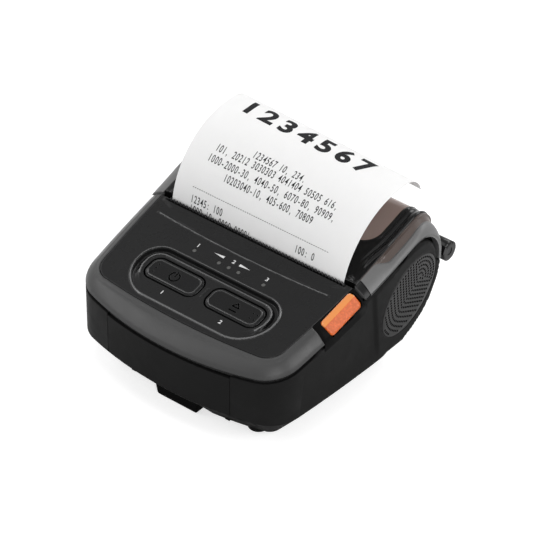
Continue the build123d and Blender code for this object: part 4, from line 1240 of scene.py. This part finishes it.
def text_mesh(text, height, bold=0.0, stretch=1.0):
    """Flat outline mesh of plain characters on their baseline, centred across."""
    capital_share = 0.7
    curve = bpy.data.curves.new("text", "FONT")
    curve.body = text
    curve.size = height / capital_share * mm
    curve.offset = bold * mm
    curve.align_x = "CENTER"
    curve.resolution_u = 4
    item = bpy.data.objects.new("text", curve)
    bpy.context.scene.collection.objects.link(item)
    bpy.context.view_layer.update()
    mesh = bpy.data.meshes.new_from_object(item)
    bm = bmesh.new()
    bm.from_mesh(mesh)
    bpy.data.objects.remove(item)
    bpy.data.meshes.remove(mesh)
    bm.transform(Matrix.Diagonal((stretch / mm, 1 / mm, 1 / mm, 1)))
    return bm


def flat_shape(corners):
    """Flat mesh of one face."""
    bm = bmesh.new()
    bm.faces.new([bm.verts.new((x, y, 0)) for x, y in corners])
    return bm


def add_mesh(target, source, place):
    """Copy a flat mesh into another, each point moved by a function."""
    copies = {vert: target.verts.new(place(vert.co)) for vert in source.verts}
    for face in source.faces:
        corners = [copies[vert] for vert in face.verts]
        if target.faces.get(corners) is None:
            target.faces.new(corners)
    source.free()


def cut_finely(bm, size):
    """Split long edges so that a flat mesh can follow a curve."""
    bmesh.ops.triangulate(bm, faces=bm.faces)
    for _ in range(6):
        long_edges = [edge for edge in bm.edges if edge.calc_length() > size]
        if not long_edges:
            break
        bmesh.ops.subdivide_edges(bm, edges=long_edges, cuts=1)
        bmesh.ops.triangulate(bm, faces=bm.faces)


def face_outwards(bm, out):
    """Turn each flat face so that it looks outwards."""
    bm.normal_update()
    for face in bm.faces:
        if face.normal.dot(out) < 0:
            face.normal_flip()


def make_print():
    """Plain numbers and dashes printed on the strip."""
    target = bmesh.new()
    lift = paper_thick / 2 + 0.015

    def on_paper(middle_x, middle_length):
        return lambda co: above_strip(middle_x + co.x, travel_at(middle_length + co.y), lift)

    # Text, middle across, path length, pitch, height, boldness and stretch
    large = (8.7, 7.2, 0.42, 1.22)
    small = (1.5, 2.9, 0.04, 0.6)
    rows = [
        ("1234567", -4.2, 42.2, *large),
        ("1234567 10, 234.", -3.0, 26.6, *small),
        ("101, 20212 3030303 4041404 50505 616,", -1.8, 22.9, *small),
        ("1000-2000-30, 4040-50, 6070-80, 90909,", -1.6, 18.5, 1.52, *small[1:]),
        ("10203040-10, 405-600, 70809", -0.6, 14.2, *small),
        ("12345: 100", -24.2, 2.1, *small),
        ("100: 0", 21.0, 2.2, *small),
        ("1000-10: 0000-00001", -17.3, -1.7, *small),
    ]
    for text, x, length, pitch, height, bold, stretch in rows:
        for number, character in enumerate(text):
            if character == " ":
                continue
            middle = x + (number - (len(text) - 1) / 2) * pitch
            letter = text_mesh(character, height, bold, stretch)
            cut_finely(letter, 1.2)
            add_mesh(target, letter, on_paper(middle, length))
    dashes, half, dash_length, dash_place = 62, 0.12, 0.62, 7.75
    line_start, line_end = -31.9, 30.6
    for number in range(dashes):
        start = mix(line_start, line_end, number / dashes)
        end = start + dash_length
        dash = flat_shape([(start, -half), (end, -half), (end, half), (start, half)])
        add_mesh(target, dash, on_paper(0.0, dash_place))
    face_outwards(target, Vector((0, -1, 1)))
    add_piece("strip_print", target, "cover", print_ink)


def make_panel_marks():
    """Plain numbers and wedges printed on the control panel."""
    ink_height, wedge_half, wedge_y = 0.02, 0.55, -13.4
    target = bmesh.new()

    def on_deck(x, y):
        centre = Vector((x, y, deck_z(y)))

        def place(co):
            spot = centre + Vector((co.x, 0, 0)) + deck_along * co.y
            across, along, _ = deck_place(spot)
            return spot + deck_up * (deck_height(across, along) + ink_height)

        return place

    labels = [("1", -16.2, -14.4), ("2", 0.0, -14.0), ("3", 15.6, -14.4)]
    labels += [("1", -13.3, -38.4), ("2", 13.7, -38.4)]
    for text, x, y in labels:
        add_mesh(target, text_mesh(text, 1.6, 0.04, 1.15), on_deck(x, y))
    for blunt, tip in ((-4.4, -9.1), (2.7, 7.6)):
        wedge = flat_shape([(blunt, wedge_half), (blunt, -wedge_half), (tip, 0.0)])
        cut_finely(wedge, 0.6)
        add_mesh(target, wedge, on_deck(0.0, wedge_y))
    face_outwards(target, deck_up)
    add_piece("panel_marks", target, "base", mark_white)


# Stage


def seen_ray(tree, share=None):
    """One for camera rays, and one or a share of it for glossy and transmission rays."""
    path = tree.nodes.new("ShaderNodeLightPath")

    def join(operation, first, second):
        node = tree.nodes.new("ShaderNodeMath")
        node.operation = operation
        tree.links.new(first, node.inputs[0])
        tree.links.new(second, node.inputs[1])
        return node.outputs[0]

    mirrored = join("MAXIMUM", path.outputs["Is Glossy Ray"], path.outputs["Is Transmission Ray"])
    if share is not None:
        mirrored = join("MULTIPLY", mirrored, share)
    return join("MAXIMUM", mirrored, path.outputs["Is Camera Ray"])


def make_floor():
    """Pale floor that keeps the object's shadow, and glows for seen rays away from it."""
    reach = 3.0
    albedo, glow_level = 0.62, 0.62
    shade_start, shade_end = 0.05, 0.13
    mesh = bpy.data.meshes.new("floor")
    corners = [(-reach, -reach, 0), (reach, -reach, 0), (reach, reach, 0), (-reach, reach, 0)]
    mesh.from_pydata(corners, [], [(0, 1, 2, 3)])
    floor = bpy.data.objects.new("floor", mesh)
    bpy.context.scene.collection.objects.link(floor)
    nodes = Nodes("floor_white")
    distance = nodes.add("ShaderNodeVectorMath", {}, {0: nodes.place}, operation="LENGTH")
    values = {"From Min": shade_start, "From Max": shade_end, "To Min": 0.0, "To Max": 1.0}
    clear = nodes.add("ShaderNodeMapRange", values, {"Value": distance.outputs["Value"]}).outputs[0]
    seen = seen_ray(nodes.tree, clear)
    glow = nodes.add("ShaderNodeMath", {1: glow_level}, {0: seen}, operation="MULTIPLY")
    base = nodes.tint(nodes.noise(3), (albedo, albedo, albedo), 0.005)
    sockets = {
        "Specular IOR Level": 0.1,
        "Emission Strength": glow.outputs[0],
        "Emission Color": (1, 1, 1, 1),
    }
    mesh.materials.append(nodes.shade(base, 0.9, None, sockets))


def make_world():
    """White surroundings for seen rays, and a lower plain level that lights the object."""
    object_level, seen_level = 0.26, 1.0
    world = bpy.data.worlds.new("studio")
    bpy.context.scene.world = world
    world.use_nodes = True
    tree = world.node_tree
    background = tree.nodes["Background"]
    background.inputs["Color"].default_value = (1, 1, 1, 1)
    level = tree.nodes.new("ShaderNodeMapRange")
    level.inputs["To Min"].default_value = object_level
    level.inputs["To Max"].default_value = seen_level
    tree.links.new(seen_ray(tree), level.inputs["Value"])
    tree.links.new(level.outputs[0], background.inputs["Strength"])


def make_lights():
    """Soft rectangular lamps that look at the printer's middle."""
    # Name, place, width, height and power
    lights = [
        ("front_fill", (-0.2, -1.1, 1.2), 1.2, 0.9, 3.0),
        ("right_side", (1.1, 0.25, 0.7), 0.7, 0.6, 7.5),
        ("left", (-1.1, 0.1, 0.8), 0.5, 0.7, 2.7),
        ("left_front", (-1.0, -0.75, 0.75), 0.5, 0.7, 5.0),
        ("top", (-0.1, -0.1, 1.5), 0.7, 0.7, 3.5),
        ("back", (0.25, 1.1, 0.75), 0.9, 0.5, 7.0),
        ("front_right", (0.9, -0.9, 0.6), 0.6, 0.5, 6.0),
    ]
    target = Vector((0.0, 0.0, 0.03))
    for name, place, width, height, power in lights:
        light = bpy.data.lights.new(name, "AREA")
        light.shape = "RECTANGLE"
        light.size = width
        light.size_y = height
        light.energy = power
        lamp = bpy.data.objects.new(name, light)
        lamp.location = place
        lamp.rotation_euler = (target - Vector(place)).to_track_quat("-Z", "Y").to_euler()
        bpy.context.scene.collection.objects.link(lamp)


def make_camera():
    """Camera at the photo's angle."""
    camera = bpy.data.objects.new("camera", bpy.data.cameras.new("camera"))
    camera_up = camera_back.cross(camera_right)
    turn = Matrix((camera_right, camera_up, camera_back)).transposed().to_4x4()
    camera.matrix_world = Matrix.Translation(camera_place) @ turn
    camera.data.lens = camera_lens
    camera.data.clip_start = 0.05
    camera.data.clip_end = 10
    bpy.context.scene.collection.objects.link(camera)
    bpy.context.scene.camera = camera
    bpy.context.scene.view_settings.view_transform = "Standard"


make_deck()
make_key("power_button", -key_x, power_icon)
make_key("feed_button", key_x, feed_icon)
make_band("front_trim", "band_trim", finishes["grey_band"])
make_band("latch_bezel", "latch_surround", black_and_underside_shade)
make_latch()
make_lower_case()
make_clip()
make_grille("side_grille_right", 1)
make_grille("side_grille_left", -1)
make_cover()
make_cover_trim("cover_trim_right", 1)
make_cover_trim("cover_trim_left", -1)
make_strip()
make_print()
make_panel_marks()
make_floor()
make_world()
make_lights()
make_camera()
